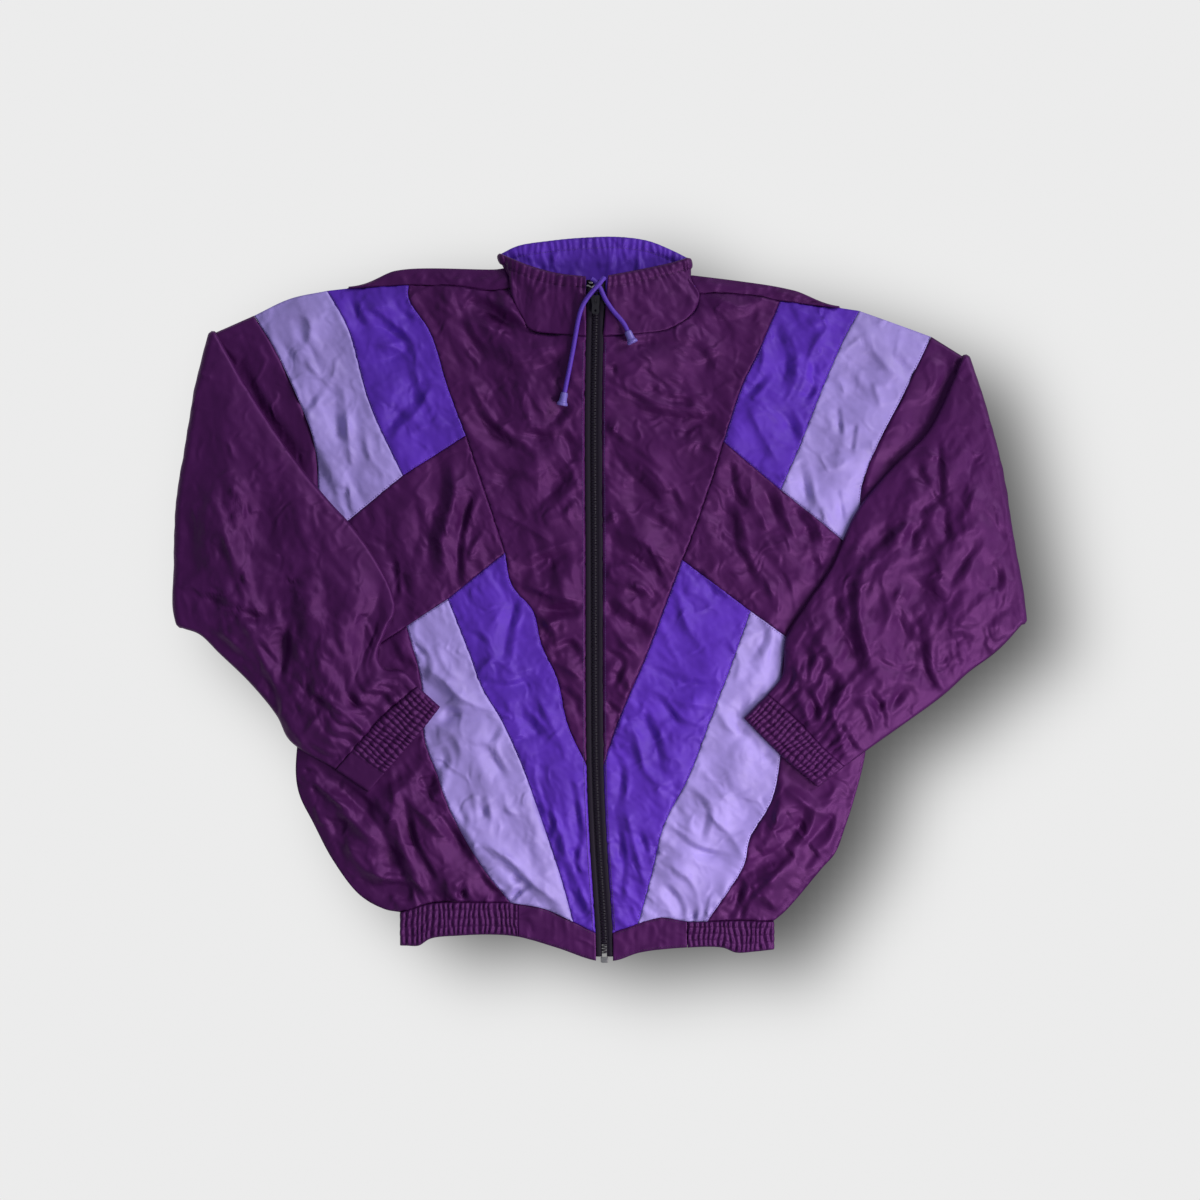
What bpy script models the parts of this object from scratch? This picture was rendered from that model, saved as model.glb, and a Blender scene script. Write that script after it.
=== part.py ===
"""A nylon track jacket, laid flat on its back with both sleeves folded in over the front.

+X is the wearer's left, +Y runs up to the collar and +Z is up off the floor. The origin is
on the floor, under the middle of the jacket. Tables and sizes are in millimetres, with x and
y as seen from above, and the meshes are made in metres. "Right" and "left" are the wearer's.
"""

import math

import bpy
import numpy as np
from mathutils.geometry import delaunay_2d_cdt

MM = 0.001

# Cloth and sewing
CLOTH = 1.2
SEAM_GAP = 0.3
PANEL_STEP = 20.0
COLLAR_SEAM_STEP = 8.0

# Heights of the front layer's middle above the floor
RIM_Z = 3.2
OPEN_Z = 7.0
PRESSED_Z = 4.4
HEM_Z = 4.6
LOWEST_Z = 2.4
RIM_WIDTH = 34.0
PRESS_REACH = 8.0
PRESS_MARGIN = 16.0
HEM_PINCH = 34.0

# The front stands up towards the collar
NECK_RISE = 13.0
NECK_SPREAD = 70.0
NECK_START_Y = 165.0
NECK_END_Y = 262.0

# Zip
ZIP_HALF = 8.5
TAPE_WALL = 0.9
COIL_HALF = 2.9
ZIP_LINE = [(-5, 318), (-7.5, 200), (-7, 50), (-6, -165), (-3, -240), (3, -333), (3.5, -358)]
ZIP_TOP_Y = 318.0
NECK_Y = 262.0
V_TIP_Y = -165.0
ZIP_HEM_Y = -332.5
ZIP_END_Y = -356.0
CALM_BESIDE_ZIP = 26.0
ZIP_STATIONS = 28

# Sleeves: a flat tube that turns back over itself at the fold
FOLD_HALF = 2.2
FOLD_RHO = 4.0
TUBE_GAP = 0.6
SLEEVE_PUFF = 8.0
SLEEVE_LIFT = 6.2
FOLD_LIFT = 8.0
FLOOR_LIFT = 0.6
DRAPE_LENGTH = 36.0
ARMHOLE_CLEAR = 0.8

# Cuffs and waistband
CUFF_WALL = 1.6
CUFF_GAP = 0.8
CUFF_WAVE = 0.9
BAND_WALL = 1.8
BAND_WAVE = 1.2
HEM_FLAT_END = {"right": -83.0, "left": 86.0}
HEM_ENDS_X = (-200.0, 172.0)

# Collar
COLLAR_RADIUS = 4.0
COLLAR_WAVE = 0.7
COLLAR_LEAN = 2.0
COLLAR_CLEAR = 1.1
COLLAR_KNOTS = 12

# Slider and pull tab
PULL_AXIS_Y = 299.0
SLIDER_FOOT = 0.8
SLIDER_TOP = 2.6
SLIDER_PLATE = 1.2
SLIDER_BEVEL = 0.5
SLIDER_PLAN = [(3.4, 3.9), (2.2, 4.6), (-3.0, 4.4), (-9.5, 3.7)]
BRIDGE_HALF = 1.0
BRIDGE_SINK = 0.4
BRIDGE_INSIDE = 2.0
BRIDGE_CLEAR = 1.7
BRIDGE_BAR = 1.0
PULL_WALL = 1.0
PULL_PLAN = [(0.6, 2.6), (-1.5, 3.0), (-6.5, 3.2), (-12.0, 3.8), (-14.2, 3.4), (-15.2, 2.2)]
PULL_EYE_HALF = 1.5
PULL_EYE_END = 5.4
PULL_HOLE = 1.3
PULL_HOLE_Y = -12.0

# Stop at the zip's lower end: half width and half height at each distance below the tape's end
BOX_RINGS = [(-0.3, 3.3, 1.4), (-1.0, 3.8, 1.7), (-5.2, 3.8, 1.7), (-6.0, 3.2, 1.3)]

# Drawstring: the routes of its two free ends, out of the collar's tunnel and over the front
CORD_RADIUS = 2.3
STOPPER_PROFILE = [(0.0, 2.9), (1.0, 3.5), (6.0, 3.8), (9.5, 4.3), (10.5, 5.2), (12.6, 5.4), (13.2, 4.6)]
CORD_ROUTES = {
    "long": [
        (3.5, 319.5, 27.0), (1.0, 316.4, 28.4), (-2.0, 312.6, 29.2), (-6.0, 308.4, 28.8), (-10.0, 303.8, 27.8),
        (-14.5, 298.0, 26.4), (-18.0, 292.0, 25.4), (-21.0, 284.0, 24.6), (-23.4, 273.5, 23.9),
        (-25.4, 262.0, 23.0), (-27.5, 250.0, 22.0), (-29.8, 238.0, 20.8), (-32.0, 227.0, 19.6),
        (-34.2, 216.5, 18.6), (-36.2, 206.5, 17.8),
    ],
    "short": [
        (-9.5, 318.5, 24.6), (-7.0, 316.8, 24.5), (-4.5, 314.3, 24.4), (-2.2, 311.4, 24.4), (-0.2, 308.0, 24.3),
        (1.3, 304.6, 24.2), (2.8, 301.2, 24.2), (5.0, 297.0, 24.2), (7.8, 292.6, 24.2), (11.0, 288.0, 24.2),
        (14.6, 283.6, 24.2), (18.2, 279.6, 24.4), (21.6, 275.4, 24.6), (24.2, 271.2, 24.7), (26.2, 266.8, 24.8),
    ],
}

# Where the pieces meet. Each seam runs smoothly through its points.
SEAMS = {
    "v_top_right": [(-192, 315), (-140, 313), (-110, 309), (-91, 311)],
    "violet_top_strip_right": [(-252, 311.5), (-192, 315)],
    "violet_top_out_right": [(-274, 309), (-252, 311.5)],
    "lavender_top_right": [(-347, 284), (-311, 301), (-274, 309)],
    "collar_base_right": [(-91, 311), (-78, 280), (-70, 269), (-35, 264), (-13.9, 262)],
    "block_in_right": [(-192, 315), (-192, 301), (-170, 266), (-153, 212), (-135, 164)],
    "block_mid_right": [(-274, 309), (-253, 272), (-231, 196), (-198, 124)],
    "violet_foot_right": [(-198, 124), (-135, 164)],
    "lavender_foot_right": [(-284, 54), (-253, 79), (-198, 124)],
    "armhole_top_right": [(-347, 284), (-325, 249), (-298, 191), (-287, 161), (-283, 124), (-284, 54)],
    "armhole_low_right": [(-284, 54), (-281, 20), (-276, -10)],
    "v_chest_right": [(-135, 164), (-115, 105), (-96, 47)],
    "v_lower_right": [(-96, 47), (-89, 15), (-68, -11), (-59, -46), (-44, -78), (-33, -125), (-14.5, -165)],
    "band_foot_violet_right": [(-153, 1), (-96, 47)],
    "band_foot_lavender_right": [(-194, -26), (-153, 1)],
    "band_foot_side_right": [(-295, -92), (-246, -60), (-194, -26)],
    "side_high_right": [(-276, -10), (-291, -50), (-295, -92)],
    "side_low_right": [(-295, -92), (-303, -140), (-305, -175), (-301, -196), (-288, -222),
                       (-268, -260), (-241, -295), (-216, -309), (-200, -312)],
    "violet_lavender_right": [(-153, 1), (-132, -52), (-119, -87), (-100, -119), (-81, -160),
                              (-60, -218), (-40, -278), (-28, -321)],
    "lavender_side_right": [(-194, -26), (-180, -78), (-178, -110), (-176, -140), (-164, -173),
                            (-148, -215), (-119, -266), (-91, -302)],
    "hem_violet_right": [(-28, -321), (-5.5, -332.5)],
    "hem_lavender_right": [(-91, -302), (-58, -308), (-28, -321)],
    "hem_side_right": [(-200, -312), (-170, -303), (-116, -302), (-91, -302)],
    "v_top_left": [(98, 306), (140, 305), (179, 299)],
    "violet_top_strip_left": [(179, 299), (219, 294), (238, 292)],
    "violet_top_out_left": [(238, 292), (258, 289)],
    "lavender_top_left": [(258, 289), (300, 274), (330, 263)],
    "collar_base_left": [(3.1, 262), (50, 266), (68, 270), (93, 288), (98, 306)],
    "block_in_left": [(179, 299), (158, 250), (140, 212), (122, 158)],
    "block_mid_left": [(258, 289), (242, 260), (220, 209), (201, 161), (179, 110)],
    "violet_foot_left": [(122, 158), (179, 110)],
    "lavender_foot_left": [(179, 110), (241, 60), (265, 40)],
    "armhole_top_left": [(330, 263), (319, 241), (300, 202), (274, 151), (259, 105), (262, 70), (265, 40)],
    "armhole_low_left": [(265, 40), (268, 10), (268, -15)],
    "v_chest_left": [(122, 158), (108, 113), (91, 65), (81, 40)],
    "v_lower_left": [(81, 40), (66, 0), (46, -53), (16, -124), (2.5, -165)],
    "band_foot_violet_left": [(81, 40), (149, -11)],
    "band_foot_lavender_left": [(149, -11), (185, -37)],
    "band_foot_side_left": [(185, -37), (229, -70), (270, -99)],
    "side_high_left": [(268, -15), (272, -55), (270, -99)],
    "side_low_left": [(270, -99), (267, -130), (263, -160), (253, -199), (244, -227), (234, -253),
                      (220, -269), (196, -298), (183, -312), (172, -321)],
    "violet_lavender_left": [(149, -11), (129, -67), (108, -122), (88, -175), (62, -226),
                             (51, -271), (37, -323)],
    "lavender_side_left": [(185, -37), (180, -80), (180, -120), (179, -157), (170, -200),
                           (148, -238), (142, -265), (106, -321)],
    "hem_violet_left": [(11.5, -332.5), (37, -323)],
    "hem_lavender_left": [(37, -323), (60, -317), (86, -321), (106, -321)],
    "hem_side_left": [(106, -321), (139, -320), (172, -321)],
}

# The silhouette where no two front pieces meet
OUTLINES = {
    "strip_right": [(-250, 317), (-240, 320), (-196, 330), (-105, 330), (-98, 331)],
    "strip_left": [(92, 324), (140, 318), (179, 312), (236, 298)],
    "fold_right": [(-391, 268), (-405, 212), (-413, 164), (-424, 94), (-426, 33), (-427, -8), (-423, -27)],
    "fold_left": [(367, 245), (384, 193), (402, 123), (411, 65), (421, 10), (425, -23)],
    "over_right": [(-391, 268), (-355, 215), (-308, 144), (-272, 99), (-248, 73), (-226, 42), (-209, 8),
                   (-206, -11), (-215, -32), (-223, -55), (-216, -69), (-196, -72), (-183, -87)],
    "over_left": [(367, 245), (352, 221), (325, 167), (293, 135), (255, 88), (230, 33), (204, -5),
                  (185, -37), (181, -75), (166, -95)],
    "under_right": [(-423, -27), (-400, -34), (-381, -53), (-351, -82), (-323, -116), (-310, -140),
                    (-264, -169)],
    "under_left": [(425, -23), (395, -51), (367, -72), (344, -93), (309, -119), (274, -143), (242, -166)],
    "cuff_seam_right": [(-183, -87), (-213, -112), (-233, -133), (-264, -169)],
    "cuff_seam_left": [(166, -95), (197, -122), (221, -148), (242, -166)],
    "cuff_end_right": [(-161, -107), (-183, -135), (-216, -173), (-232, -191)],
    "cuff_end_left": [(143, -118), (181, -156), (216, -186)],
    "collar_front_top_right": [(-15, 321), (-44, 325), (-75, 334), (-100, 345)],
    "collar_back_top": [(-100, 346), (-83, 354), (-52, 359), (-21, 362), (17, 363), (47, 359), (70, 350),
                        (86, 342)],
    "collar_front_top_left": [(86, 341), (70, 336), (40, 329), (7, 322)],
    "neckline": [(-94, 318), (-86, 314), (-60, 303), (0, 296), (55, 300), (84, 311), (92, 316)],
    "collar_back_base": [(-88, 322), (-82, 315), (-60, 303.6), (0, 296.6), (55, 300.6), (80, 313), (86, 318)],
    "hem_end": [(-195, -345), (-182, -345), (-170, -338), (-141, -335), (-109, -334), (-84, -336),
                (-45, -347), (-6, -360), (14, -360), (39, -352), (86, -347), (121, -347), (135, -352),
                (153, -351), (171, -349)],
    "hem_back_end": [(-195, -344.5), (-182, -344), (-169, -337), (-141, -333.5), (-109, -332.5), (-84, -334),
                     (-45, -340), (0, -344), (60, -345), (121, -345.5), (135, -350), (153, -349.5), (171, -348.5)],
    "hem_back_top": [(-200, -312), (-100, -310), (0, -313), (100, -318), (172, -321)],
}

# Front pieces: the seams round each, anticlockwise; a minus sign runs one backwards
PANELS = {
    "front_centre_right": ("plum", ["-v_top_right", "block_in_right", "v_chest_right", "v_lower_right",
                                    "zip_right", "-collar_base_right"]),
    "front_centre_left": ("plum", ["-v_top_left", "-collar_base_left", "zip_left", "-v_lower_left",
                                   "-v_chest_left", "-block_in_left"]),
    "shoulder_violet_right": ("violet", ["-violet_top_strip_right", "-violet_top_out_right",
                                         "block_mid_right", "violet_foot_right", "-block_in_right"]),
    "shoulder_violet_left": ("violet", ["block_in_left", "violet_foot_left", "-block_mid_left",
                                        "-violet_top_out_left", "-violet_top_strip_left"]),
    "shoulder_lavender_right": ("lavender", ["-lavender_top_right", "armhole_top_right",
                                             "lavender_foot_right", "-block_mid_right"]),
    "shoulder_lavender_left": ("lavender", ["block_mid_left", "lavender_foot_left",
                                            "-armhole_top_left", "-lavender_top_left"]),
    "chest_band_right": ("plum", ["-violet_foot_right", "-lavender_foot_right", "armhole_low_right",
                                  "side_high_right", "band_foot_side_right", "band_foot_lavender_right",
                                  "band_foot_violet_right", "-v_chest_right"]),
    "chest_band_left": ("plum", ["v_chest_left", "band_foot_violet_left", "band_foot_lavender_left",
                                 "band_foot_side_left", "-side_high_left", "-armhole_low_left",
                                 "-lavender_foot_left", "-violet_foot_left"]),
    "lower_violet_right": ("violet", ["-band_foot_violet_right", "violet_lavender_right",
                                      "hem_violet_right", "zip_low_right", "-v_lower_right"]),
    "lower_violet_left": ("violet", ["v_lower_left", "zip_low_left", "hem_violet_left",
                                     "-violet_lavender_left", "-band_foot_violet_left"]),
    "lower_lavender_right": ("lavender", ["-band_foot_lavender_right", "lavender_side_right",
                                          "hem_lavender_right", "-violet_lavender_right"]),
    "lower_lavender_left": ("lavender", ["violet_lavender_left", "hem_lavender_left",
                                         "-lavender_side_left", "-band_foot_lavender_left"]),
    "lower_side_right": ("plum", ["-band_foot_side_right", "side_low_right", "hem_side_right",
                                  "-lavender_side_right"]),
    "lower_side_left": ("plum", ["lavender_side_left", "hem_side_left", "-side_low_left",
                                 "-band_foot_side_left"]),
}

# The largest folds of the front: from (x0, y0) to (x1, y1), a ridge if it rises and a trough if not
FOLD_COLUMNS = ("x0", "y0", "x1", "y1", "width", "rise")
FRONT_FOLDS = [
    (-92, 300, -62, 150, 20, 4.5),
    (-120, 290, -108, 200, 18, -2.5),
    (-150, 260, -120, 170, 16, 3.0),
    (-60, 120, -30, 20, 18, 3.5),
    (-240, 250, -205, 150, 16, 3.0),
    (-300, 240, -262, 120, 16, 3.5),
    (-182, 100, -186, 20, 14, 4.0),
    (-203, 70, -202, 0, 12, -2.5),
    (-150, 110, -152, 30, 13, 3.5),
    (-120, -30, -60, -170, 17, 3.5),
    (-170, -60, -110, -190, 17, 3.5),
    (-150, -200, -70, -290, 16, 4.0),
    (-270, -190, -180, -285, 18, 7.0),
    (-225, -170, -130, -285, 16, 5.0),
    (-285, -215, -225, -285, 14, -2.5),
    (120, 280, 40, 235, 18, 4.0),
    (160, 220, 110, 110, 16, 3.0),
    (60, 120, 30, 0, 18, 3.5),
    (205, 260, 150, 170, 16, 3.0),
    (290, 230, 220, 90, 16, 3.5),
    (200, 60, 120, 40, 15, 3.0),
    (120, -40, 60, -180, 17, 3.5),
    (165, -70, 120, -200, 17, 3.5),
    (110, -210, 60, -300, 16, 4.0),
    (245, -190, 160, -290, 18, 7.0),
    (215, -170, 140, -260, 15, 5.0),
    (255, -210, 190, -290, 14, -2.5),
]
SLEEVE_FOLDS = {
    "right": [
        (-380, 110, -362, -10, 20, 5.0),
        (-362, -10, -320, -95, 17, 5.0),
        (-313, 20, -316, -85, 12, -3.5),
        (-215, 60, -240, -60, 14, -3.0),
        (-330, 180, -270, 60, 20, 4.0),
        (-400, 20, -330, 0, 13, -3.0),
        (-280, -60, -262, -150, 15, 4.0),
        (-250, 20, -250, -90, 15, 4.5),
    ],
    "left": [
        (385, 120, 350, 0, 20, 5.0),
        (340, 150, 270, 20, 18, 4.0),
        (400, 20, 330, -40, 16, 4.5),
        (330, 60, 300, -60, 13, -3.5),
        (260, 40, 215, -60, 15, 4.0),
        (300, -40, 240, -120, 15, 4.0),
        (370, 60, 395, -10, 13, -3.0),
    ],
}

GATHERS = {"cuff_right": 22, "cuff_left": 20, "hem_right": 22, "hem_left": 17,
           "collar_front": 13, "collar_back": 26}

COLOURS = {
    "plum": (0.062, 0.014, 0.078),
    "violet": (0.098, 0.028, 0.380),
    "lavender": (0.330, 0.260, 0.620),
    "zip_black": (0.020, 0.011, 0.026),
    "metal": (0.550, 0.550, 0.570),
    "dark_metal": (0.060, 0.055, 0.065),
}
ROUGHNESS = {"plum": 0.45, "violet": 0.45, "lavender": 0.5, "zip_black": 0.6, "metal": 0.3,
             "dark_metal": 0.35}
METALS = ("metal", "dark_metal")


# Curves and plan shapes

def clear_scene():
    for item in list(bpy.data.objects):
        bpy.data.objects.remove(item, do_unlink=True)


def ease(value):
    value = np.clip(value, 0.0, 1.0)
    return value * value * (3.0 - 2.0 * value)


def smooth_line(points, samples=24):
    """Many points on a Catmull-Rom curve through the given ones, paced by their distances."""
    p = np.array(points, float)
    if len(p) == 2:
        return p[0] + np.linspace(0, 1, samples + 1)[:, None] * (p[1] - p[0])
    p = np.vstack([2 * p[0] - p[1], p, 2 * p[-1] - p[-2]])
    pace = np.cumsum(np.r_[0.0, np.sqrt(np.linalg.norm(np.diff(p, axis=0), axis=1))])
    line = []
    for i in range(1, len(p) - 2):
        t0, t1, t2, t3 = pace[i - 1:i + 3]
        t = np.linspace(t1, t2, samples, endpoint=False)[:, None]
        a1 = ((t1 - t) * p[i - 1] + (t - t0) * p[i]) / (t1 - t0)
        a2 = ((t2 - t) * p[i] + (t - t1) * p[i + 1]) / (t2 - t1)
        a3 = ((t3 - t) * p[i + 1] + (t - t2) * p[i + 2]) / (t3 - t2)
        b1 = ((t2 - t) * a1 + (t - t0) * a2) / (t2 - t0)
        b2 = ((t3 - t) * a2 + (t - t1) * a3) / (t3 - t1)
        line.append(((t2 - t) * b1 + (t - t1) * b2) / (t2 - t1))
    return np.vstack(line + [p[-2:-1]])


def at_shares(line, shares):
    """Points of a polyline at the given shares of its length."""
    along = np.cumsum(np.r_[0.0, np.linalg.norm(np.diff(line, axis=0), axis=1)])
    wanted = np.asarray(shares) * along[-1]
    return np.stack([np.interp(wanted, along, line[:, k]) for k in range(line.shape[1])], axis=-1)


def spaced(points, step):
    """A smooth line through the points, cut into equal lengths of about one step."""
    line = smooth_line(points)
    length = np.linalg.norm(np.diff(line, axis=0), axis=1).sum()
    pieces = max(1, int(round(length / step)))
    return at_shares(line, np.linspace(0, 1, pieces + 1))


def zip_x(y):
    line = smooth_line(ZIP_LINE[::-1])
    return np.interp(y, line[:, 1], line[:, 0])


def zip_edge(side, y_start, y_end):
    levels = np.linspace(y_start, y_end, 7)
    return [(float(zip_x(y)) + side * ZIP_HALF, float(y)) for y in levels]


def add_zip_seams():
    for name, side in (("right", -1), ("left", 1)):
        SEAMS[f"v_lower_{name}"][-1] = zip_edge(side, V_TIP_Y, ZIP_HEM_Y)[0]
        SEAMS[f"zip_{name}"] = zip_edge(side, V_TIP_Y, NECK_Y)
        SEAMS[f"zip_low_{name}"] = zip_edge(side, ZIP_HEM_Y, V_TIP_Y)
        SEAMS[f"hem_violet_{name}"][0 if side > 0 else -1] = zip_edge(side, ZIP_HEM_Y, V_TIP_Y)[0]
        SEAMS[f"collar_base_{name}"][0 if side > 0 else -1] = zip_edge(side, NECK_Y, V_TIP_Y)[0]
    for seam in ("zip_left", "zip_low_left"):
        SEAMS[seam] = SEAMS[seam][::-1]


def loop_of(seams, step):
    """The closed outline made by the named seams, one after the other."""
    parts = []
    for name in seams:
        line = spaced(SEAMS[name.lstrip("-")], COLLAR_SEAM_STEP if "collar_base" in name else step)
        line = line[::-1] if name.startswith("-") else line
        parts.append(line[:-1])
    return np.vstack(parts)


def depth(points, loop):
    """Distance of each point inside a closed outline, negative outside it."""
    p = np.asarray(points, float).reshape(-1, 2)
    a, b = loop, np.roll(loop, -1, axis=0)
    run = b - a
    share = ((p[:, None, :] - a) * run).sum(-1) / np.maximum((run * run).sum(-1), 1e-9)
    nearest = a + np.clip(share, 0, 1)[..., None] * run
    far = np.sqrt(((p[:, None, :] - nearest) ** 2).sum(-1)).min(axis=1)
    above = (a[:, 1] > p[:, 1:2]) != (b[:, 1] > p[:, 1:2])
    rise = np.where(np.abs(run[:, 1]) < 1e-9, 1e-9, run[:, 1])
    cross = a[:, 0] + (p[:, 1:2] - a[:, 1]) * run[:, 0] / rise
    inside = (above & (p[:, 0:1] < cross)).sum(axis=1) % 2 == 1
    return np.where(inside, far, -far)


def inset(loop, gap):
    """The outline moved inwards by half a seam gap, with its corners kept."""
    before, after = np.roll(loop, 1, axis=0), np.roll(loop, -1, axis=0)
    area = 0.5 * np.sum(loop[:, 0] * after[:, 1] - after[:, 0] * loop[:, 1])
    turn = 1.0 if area > 0 else -1.0

    def inward(start, end):
        run = end - start
        run = run / np.linalg.norm(run, axis=1, keepdims=True)
        return turn * np.stack([-run[:, 1], run[:, 0]], axis=1)

    first, second = inward(before, loop), inward(loop, after)
    spread = np.maximum(1.0 + (first * second).sum(axis=1, keepdims=True), 0.35)
    return loop + gap * (first + second) / spread


def sleeve_cover(side):
    """The outline of a folded sleeve and its cuff, as it lies on the front."""
    rim = [smooth_line(OUTLINES[f"{part}_{side}"], 6) for part in ("over", "cuff_end", "under", "fold")]
    return np.vstack([rim[0], rim[1], rim[2][::-1], rim[3][::-1]])


def sleeve_root(side):
    """The outline of the stretch of sleeve from the armhole to the fold."""
    hole = np.vstack([smooth_line(SEAMS[f"armhole_{part}_{side}"], 6) for part in ("top", "low")])
    return np.vstack([hole, smooth_line(OUTLINES[f"fold_{side}"], 6)[::-1]])


def rim_line(table, name):
    return smooth_line(table[name], 6)


def silhouette():
    """The outline of body, collar and sleeve roots together."""
    return np.vstack([
        rim_line(OUTLINES, "hem_end")[::-1],
        rim_line(SEAMS, "side_low_right")[::-1], rim_line(SEAMS, "side_high_right")[::-1],
        rim_line(OUTLINES, "fold_right")[::-1],
        rim_line(SEAMS, "lavender_top_right"), rim_line(SEAMS, "violet_top_out_right"),
        rim_line(OUTLINES, "strip_right"),
        rim_line(OUTLINES, "collar_back_top"),
        rim_line(OUTLINES, "strip_left"),
        rim_line(SEAMS, "violet_top_out_left"), rim_line(SEAMS, "lavender_top_left"),
        rim_line(OUTLINES, "fold_left"),
        rim_line(SEAMS, "side_high_left"), rim_line(SEAMS, "side_low_left"),
    ])


def body_outline():
    """The back's outline: sides, armholes, shoulders and neckline, without the waistband."""
    return np.vstack([
        rim_line(SEAMS, "side_low_right")[::-1], rim_line(SEAMS, "side_high_right")[::-1],
        rim_line(SEAMS, "armhole_low_right")[::-1], rim_line(SEAMS, "armhole_top_right")[::-1],
        rim_line(SEAMS, "lavender_top_right"), rim_line(OUTLINES, "strip_right"),
        rim_line(OUTLINES, "strip_left"), rim_line(SEAMS, "lavender_top_left"),
        rim_line(SEAMS, "armhole_top_left"), rim_line(SEAMS, "armhole_low_left"),
        rim_line(SEAMS, "side_high_left"), rim_line(SEAMS, "side_low_left"),
    ])


add_zip_seams()
SILHOUETTE = silhouette()
COVERS = [sleeve_cover("right"), sleeve_cover("left")]
HEM_TOP_LINE = np.vstack([smooth_line(SEAMS[f"hem_{part}"]) for part in
                          ("side_right", "lavender_right", "violet_right",
                           "violet_left", "lavender_left", "side_left")])
SUPPORTS = {side: [body_outline(), sleeve_root(side)] for side in ("right", "left")}


# Heights

def folds(points, rows):
    """The summed height of soft ridges and troughs, each along its own stretch."""
    total = np.zeros(len(points))
    for row in rows:
        fold = dict(zip(FOLD_COLUMNS, row))
        start = np.array([fold["x0"], fold["y0"]], float)
        run = np.array([fold["x1"], fold["y1"]], float) - start
        share = np.clip(((points - start) @ run) / (run @ run), 0, 1)
        off = np.linalg.norm(points - start - share[:, None] * run, axis=1)
        total += fold["rise"] * np.exp(-(off / fold["width"]) ** 2) * (0.65 + 0.35 * np.sin(math.pi * share))
    return total


def front_mid(points):
    """Height of the middle of the front's cloth at each (x, y)."""
    p = np.asarray(points, float).reshape(-1, 2)
    rise = ease(depth(p, SILHOUETTE) / RIM_WIDTH)
    from_zip = p[:, 0] - zip_x(p[:, 1])
    calm = ease(np.abs(from_zip) / CALM_BESIDE_ZIP)
    z = RIM_Z + (OPEN_Z - RIM_Z) * rise + folds(p, FRONT_FOLDS) * rise * calm
    stand = ease((p[:, 1] - NECK_START_Y) / (NECK_END_Y - NECK_START_Y))
    z += NECK_RISE * stand * np.exp(-(from_zip / NECK_SPREAD) ** 2) * rise
    hem_y = np.interp(p[:, 0], HEM_TOP_LINE[:, 0], HEM_TOP_LINE[:, 1])
    z = HEM_Z + (z - HEM_Z) * ease((p[:, 1] - hem_y) / HEM_PINCH + 0.05)
    z = np.maximum(z, LOWEST_Z)
    for cover in COVERS:
        press = ease(1.0 + (depth(p, cover) + PRESS_REACH) / PRESS_MARGIN)
        z += (np.minimum(z, PRESSED_Z) - z) * press
    return z


def sleeve_lift(points, side):
    """Height of the folded sleeve's underside: over the body and its own root, else near the floor."""
    p = np.asarray(points, float).reshape(-1, 2)
    inside = np.max([depth(p, loop) for loop in SUPPORTS[side]], axis=0)
    return FLOOR_LIFT + (SLEEVE_LIFT - FLOOR_LIFT) * ease(1.0 + (inside + 4.0) / DRAPE_LENGTH)


# Meshes

def turned_out(points, faces):
    """The faces, reversed if they enclose a negative volume."""
    volume = 0.0
    for face in faces:
        a = points[face[0]]
        for b, c in zip(face[1:-1], face[2:]):
            volume += np.dot(a, np.cross(points[b], points[c]))
    return faces if volume > 0 else [list(face)[::-1] for face in faces]


def add_mesh(name, material, points, faces):
    points = np.asarray(points, float)
    faces = turned_out(points, faces)
    mesh = bpy.data.meshes.new(name)
    mesh.from_pydata([tuple(float(c) * MM for c in p) for p in points], [], faces)
    mesh.validate()
    mesh.materials.append(MATERIALS[material])
    mesh.shade_smooth()
    mesh.set_sharp_from_angle(angle=math.radians(40))
    item = bpy.data.objects.new(name, mesh)
    bpy.context.scene.collection.objects.link(item)
    return item


def grid_faces(stations, rows, start, flip, looped):
    """Quads of a grid of points; looped joins the last row to the first."""
    faces = []
    for i in range(stations - 1):
        for j in range(rows if looped else rows - 1):
            k = (j + 1) % rows
            quad = [start + i * rows + j, start + (i + 1) * rows + j,
                    start + (i + 1) * rows + k, start + i * rows + k]
            faces.append(quad[::-1] if flip else quad)
    return faces


def wall(name, material, outer, inner, looped=False):
    """A closed wall between two matching grids [station][row] of points."""
    outer, inner = np.asarray(outer), np.asarray(inner)
    stations, rows = outer.shape[:2]
    count = stations * rows
    faces = grid_faces(stations, rows, 0, False, looped)
    faces += grid_faces(stations, rows, count, True, looped)
    rims = []
    last = (stations - 1) * rows
    pairs = [(j, (j + 1) % rows) for j in range(rows if looped else rows - 1)]
    rims += [(j, k) for j, k in pairs]
    rims += [(last + k, last + j) for j, k in pairs]
    if not looped:
        rims += [((i + 1) * rows, i * rows) for i in range(stations - 1)]
        rims += [(i * rows + rows - 1, (i + 1) * rows + rows - 1) for i in range(stations - 1)]
    for a, b in rims:
        faces.append([a, b, b + count, a + count])
    points = np.vstack([outer.reshape(-1, 3), inner.reshape(-1, 3)])
    return add_mesh(name, material, points, faces)


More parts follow.
